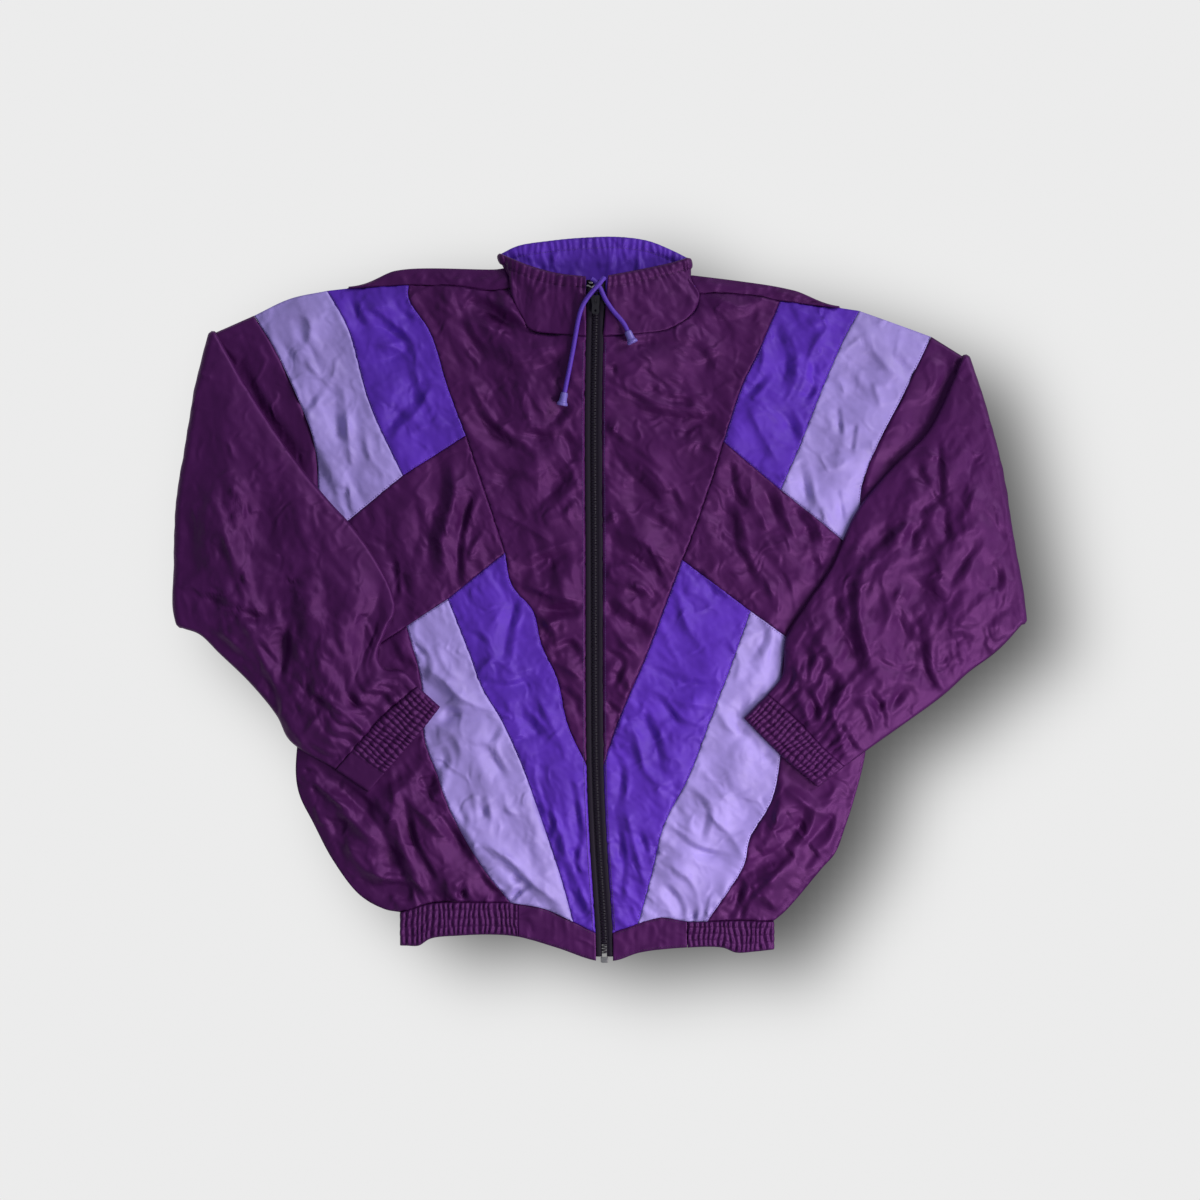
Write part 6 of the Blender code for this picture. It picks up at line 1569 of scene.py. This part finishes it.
def nylon(name, colour, shine, crinkle=1.0):
    """Thin shiny nylon: a deep colour, a satin gloss, fine crinkles and a close weave."""
    material, tree, shader = new_material(name)
    set_inputs(shader, {"Specular IOR Level": 0.55, "Specular Tint": (*shine, 1.0), "Sheen Weight": 0.03,
                        "Sheen Roughness": 0.35, "Sheen Tint": (*shine, 1.0)})
    patches = grain_node(tree, 24.0, Detail=4.0, Roughness=0.6)
    ramp = ((0.3, [c * 0.86 for c in colour]), (0.7, [c * 1.12 for c in colour]))
    tint_and_gloss(tree, shader, patches.outputs["Fac"], ramp, (0.46, 0.6))
    fine = grain_node(tree, 48.0, Detail=5.0, Roughness=0.5, Distortion=0.9)
    fine.noise_type = "RIDGED_MULTIFRACTAL"
    fine.normalize = True
    weave = grain_node(tree, 1500.0, Detail=2.0, Roughness=0.5)
    creased = add_node(tree, "ShaderNodeBump", {"Strength": 0.6 * crinkle, "Distance": 0.0042},
                       Height=fine.outputs["Fac"])
    woven = add_node(tree, "ShaderNodeBump", {"Strength": 0.25, "Distance": 0.0001},
                     Height=weave.outputs["Fac"], Normal=creased.outputs["Normal"])
    tree.links.new(woven.outputs["Normal"], shader.inputs["Normal"])
    return material


def plain(name, colour, roughness, metallic, bump_scale, bump, gleam=0.5):
    """Metal, plastic or braid: one colour with fine wear in its gloss and relief."""
    material, tree, shader = new_material(name)
    set_inputs(shader, {"Metallic": metallic, "Specular IOR Level": gleam})
    grain = grain_node(tree, bump_scale)
    ramp = ((0.0, [c * 0.8 for c in colour]), (1.0, [min(1.0, c * 1.2) for c in colour]))
    gloss = (max(roughness - 0.08, 0.02), roughness + 0.08)
    tint_and_gloss(tree, shader, grain.outputs["Fac"], ramp, gloss)
    relief = add_node(tree, "ShaderNodeBump", {"Strength": bump, "Distance": 0.0003},
                      Height=grain.outputs["Fac"])
    tree.links.new(relief.outputs["Normal"], shader.inputs["Normal"])
    return material


def build_materials():
    plum, shine = COLOURS["plum"], (0.78, 0.28, 0.88)
    made = {
        "plum": nylon("plum", plum, shine),
        "plum_rib": nylon("plum_rib", [c * 0.86 for c in plum], shine, crinkle=0.5),
        "violet": nylon("violet", COLOURS["violet"], (0.60, 0.42, 1.0)),
        "lavender": nylon("lavender", COLOURS["lavender"], (0.90, 0.85, 1.0)),
    }
    for name, (colour, *finish) in FINISHES.items():
        made[name] = plain(name, COLOURS[colour], *finish)
    return made


def dress_metal():
    """The CAD's own slider, tab and stop keep their shape and take a better finish."""
    for node, finish in (("zip_slider", "dark_metal"), ("zip_pull", "dark_metal"),
                         ("zip_box", "bright_metal")):
        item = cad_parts[node]
        item.data.materials.clear()
        item.data.materials.append(MATERIALS[finish])


# Floor, light and camera

def shadow_tones():
    """The floor's grid points and tones: darker where the moved, blurred outline lies."""
    count = int(2 * SHADE_REACH / SHADE_STEP) + 1
    axis = np.linspace(-SHADE_REACH, SHADE_REACH, count)
    x, y = np.meshgrid(axis, axis, indexing="ij")
    spots = np.c_[x.ravel(), y.ravel()]
    around = spots - np.array(SHADE_OFFSET)
    inside = np.max([depth(around, loop) for loop in [SILHOUETTE] + COVERS], axis=0) > 0
    dark = inside.reshape(count, count).astype(float)
    reach = np.arange(-count // 2, count // 2 + 1)
    bell = np.exp(-0.5 * (reach * SHADE_STEP / SHADE_SOFT) ** 2)
    bell /= bell.sum()
    for _ in range(2):
        dark = np.apply_along_axis(lambda row: np.convolve(row, bell, "same")[:count], 0, dark).T
    return spots, FLOOR_TONE * (1 - SHADE_DEPTH * dark.ravel()), count


def make_floor():
    """A glowing floor that carries the shadow's tones, on a wide plain one just below it."""
    floor, tree, shader = new_material("floor")
    set_inputs(shader, {"Base Color": (0.0, 0.0, 0.0, 1.0), "Roughness": 1.0, "Specular IOR Level": 0.0,
                        "Emission Strength": 1.0})
    shade = tree.nodes.new("ShaderNodeAttribute")
    shade.attribute_name = "shade"
    tree.links.new(shade.outputs["Color"], shader.inputs["Emission Color"])
    spots, tones, count = shadow_tones()
    corners = [(x * FLOOR_REACH, y * FLOOR_REACH, -0.4) for x, y in ((-1, -1), (1, -1), (1, 1), (-1, 1))]
    points = np.vstack([np.c_[spots, np.full(len(spots), -0.2)], corners])
    faces = grid_faces(count, count, flip=True) + [[len(spots) + k for k in range(4)]]
    mesh = bpy.data.meshes.new("floor")
    mesh.from_pydata((points * MM).tolist(), [], faces)
    tones = np.r_[tones, [FLOOR_TONE] * len(corners)]
    layer = mesh.color_attributes.new("shade", "FLOAT_COLOR", "POINT")
    layer.data.foreach_set("color", np.c_[tones, tones, tones, np.ones(len(tones))].ravel())
    mesh.materials.append(floor)
    ground = bpy.data.objects.new("floor", mesh)
    bpy.context.scene.collection.objects.link(ground)


def add_light(name, kind, toward, **settings):
    """A light that shines from the given direction on to the middle of the jacket."""
    light = bpy.data.lights.new(name, kind)
    for setting, value in settings.items():
        setattr(light, setting, value)
    lamp = bpy.data.objects.new(name, light)
    lamp.rotation_mode = "QUATERNION"
    lamp.rotation_quaternion = Vector(toward).to_track_quat("Z", "Y")
    bpy.context.scene.collection.objects.link(lamp)
    return lamp


def make_studio():
    make_floor()
    toward, strength, width = SUN
    add_light("key", "SUN", toward, energy=strength, angle=width)
    place, power, size = LAMP
    side = add_light("side", "AREA", place, energy=power, shape="DISK", size=size, color=LAMP_COLOUR)
    side.location = place
    scene = bpy.context.scene
    scene.world = bpy.data.worlds.new("studio")
    scene.world.use_nodes = True
    set_inputs(scene.world.node_tree.nodes["Background"], {"Color": SKY_COLOUR, "Strength": WORLD_STRENGTH})
    scene.view_settings.view_transform = "Standard"
    camera = bpy.data.cameras.new("camera")
    camera.lens = 85.0
    camera.sensor_width = 36.0
    eye = bpy.data.objects.new("camera", camera)
    eye.location = (-0.001, 0.0, FRAME_WIDTH * camera.lens / camera.sensor_width)
    scene.collection.objects.link(eye)
    scene.camera = eye


MATERIALS = build_materials()
make_studio()
make_cords()
make_back()
make_fronts(make_zip())
make_sleeves()
make_cuffs()
make_hem_flats()
make_hem_elastic()
make_collar()
dress_metal()
make_stitching()
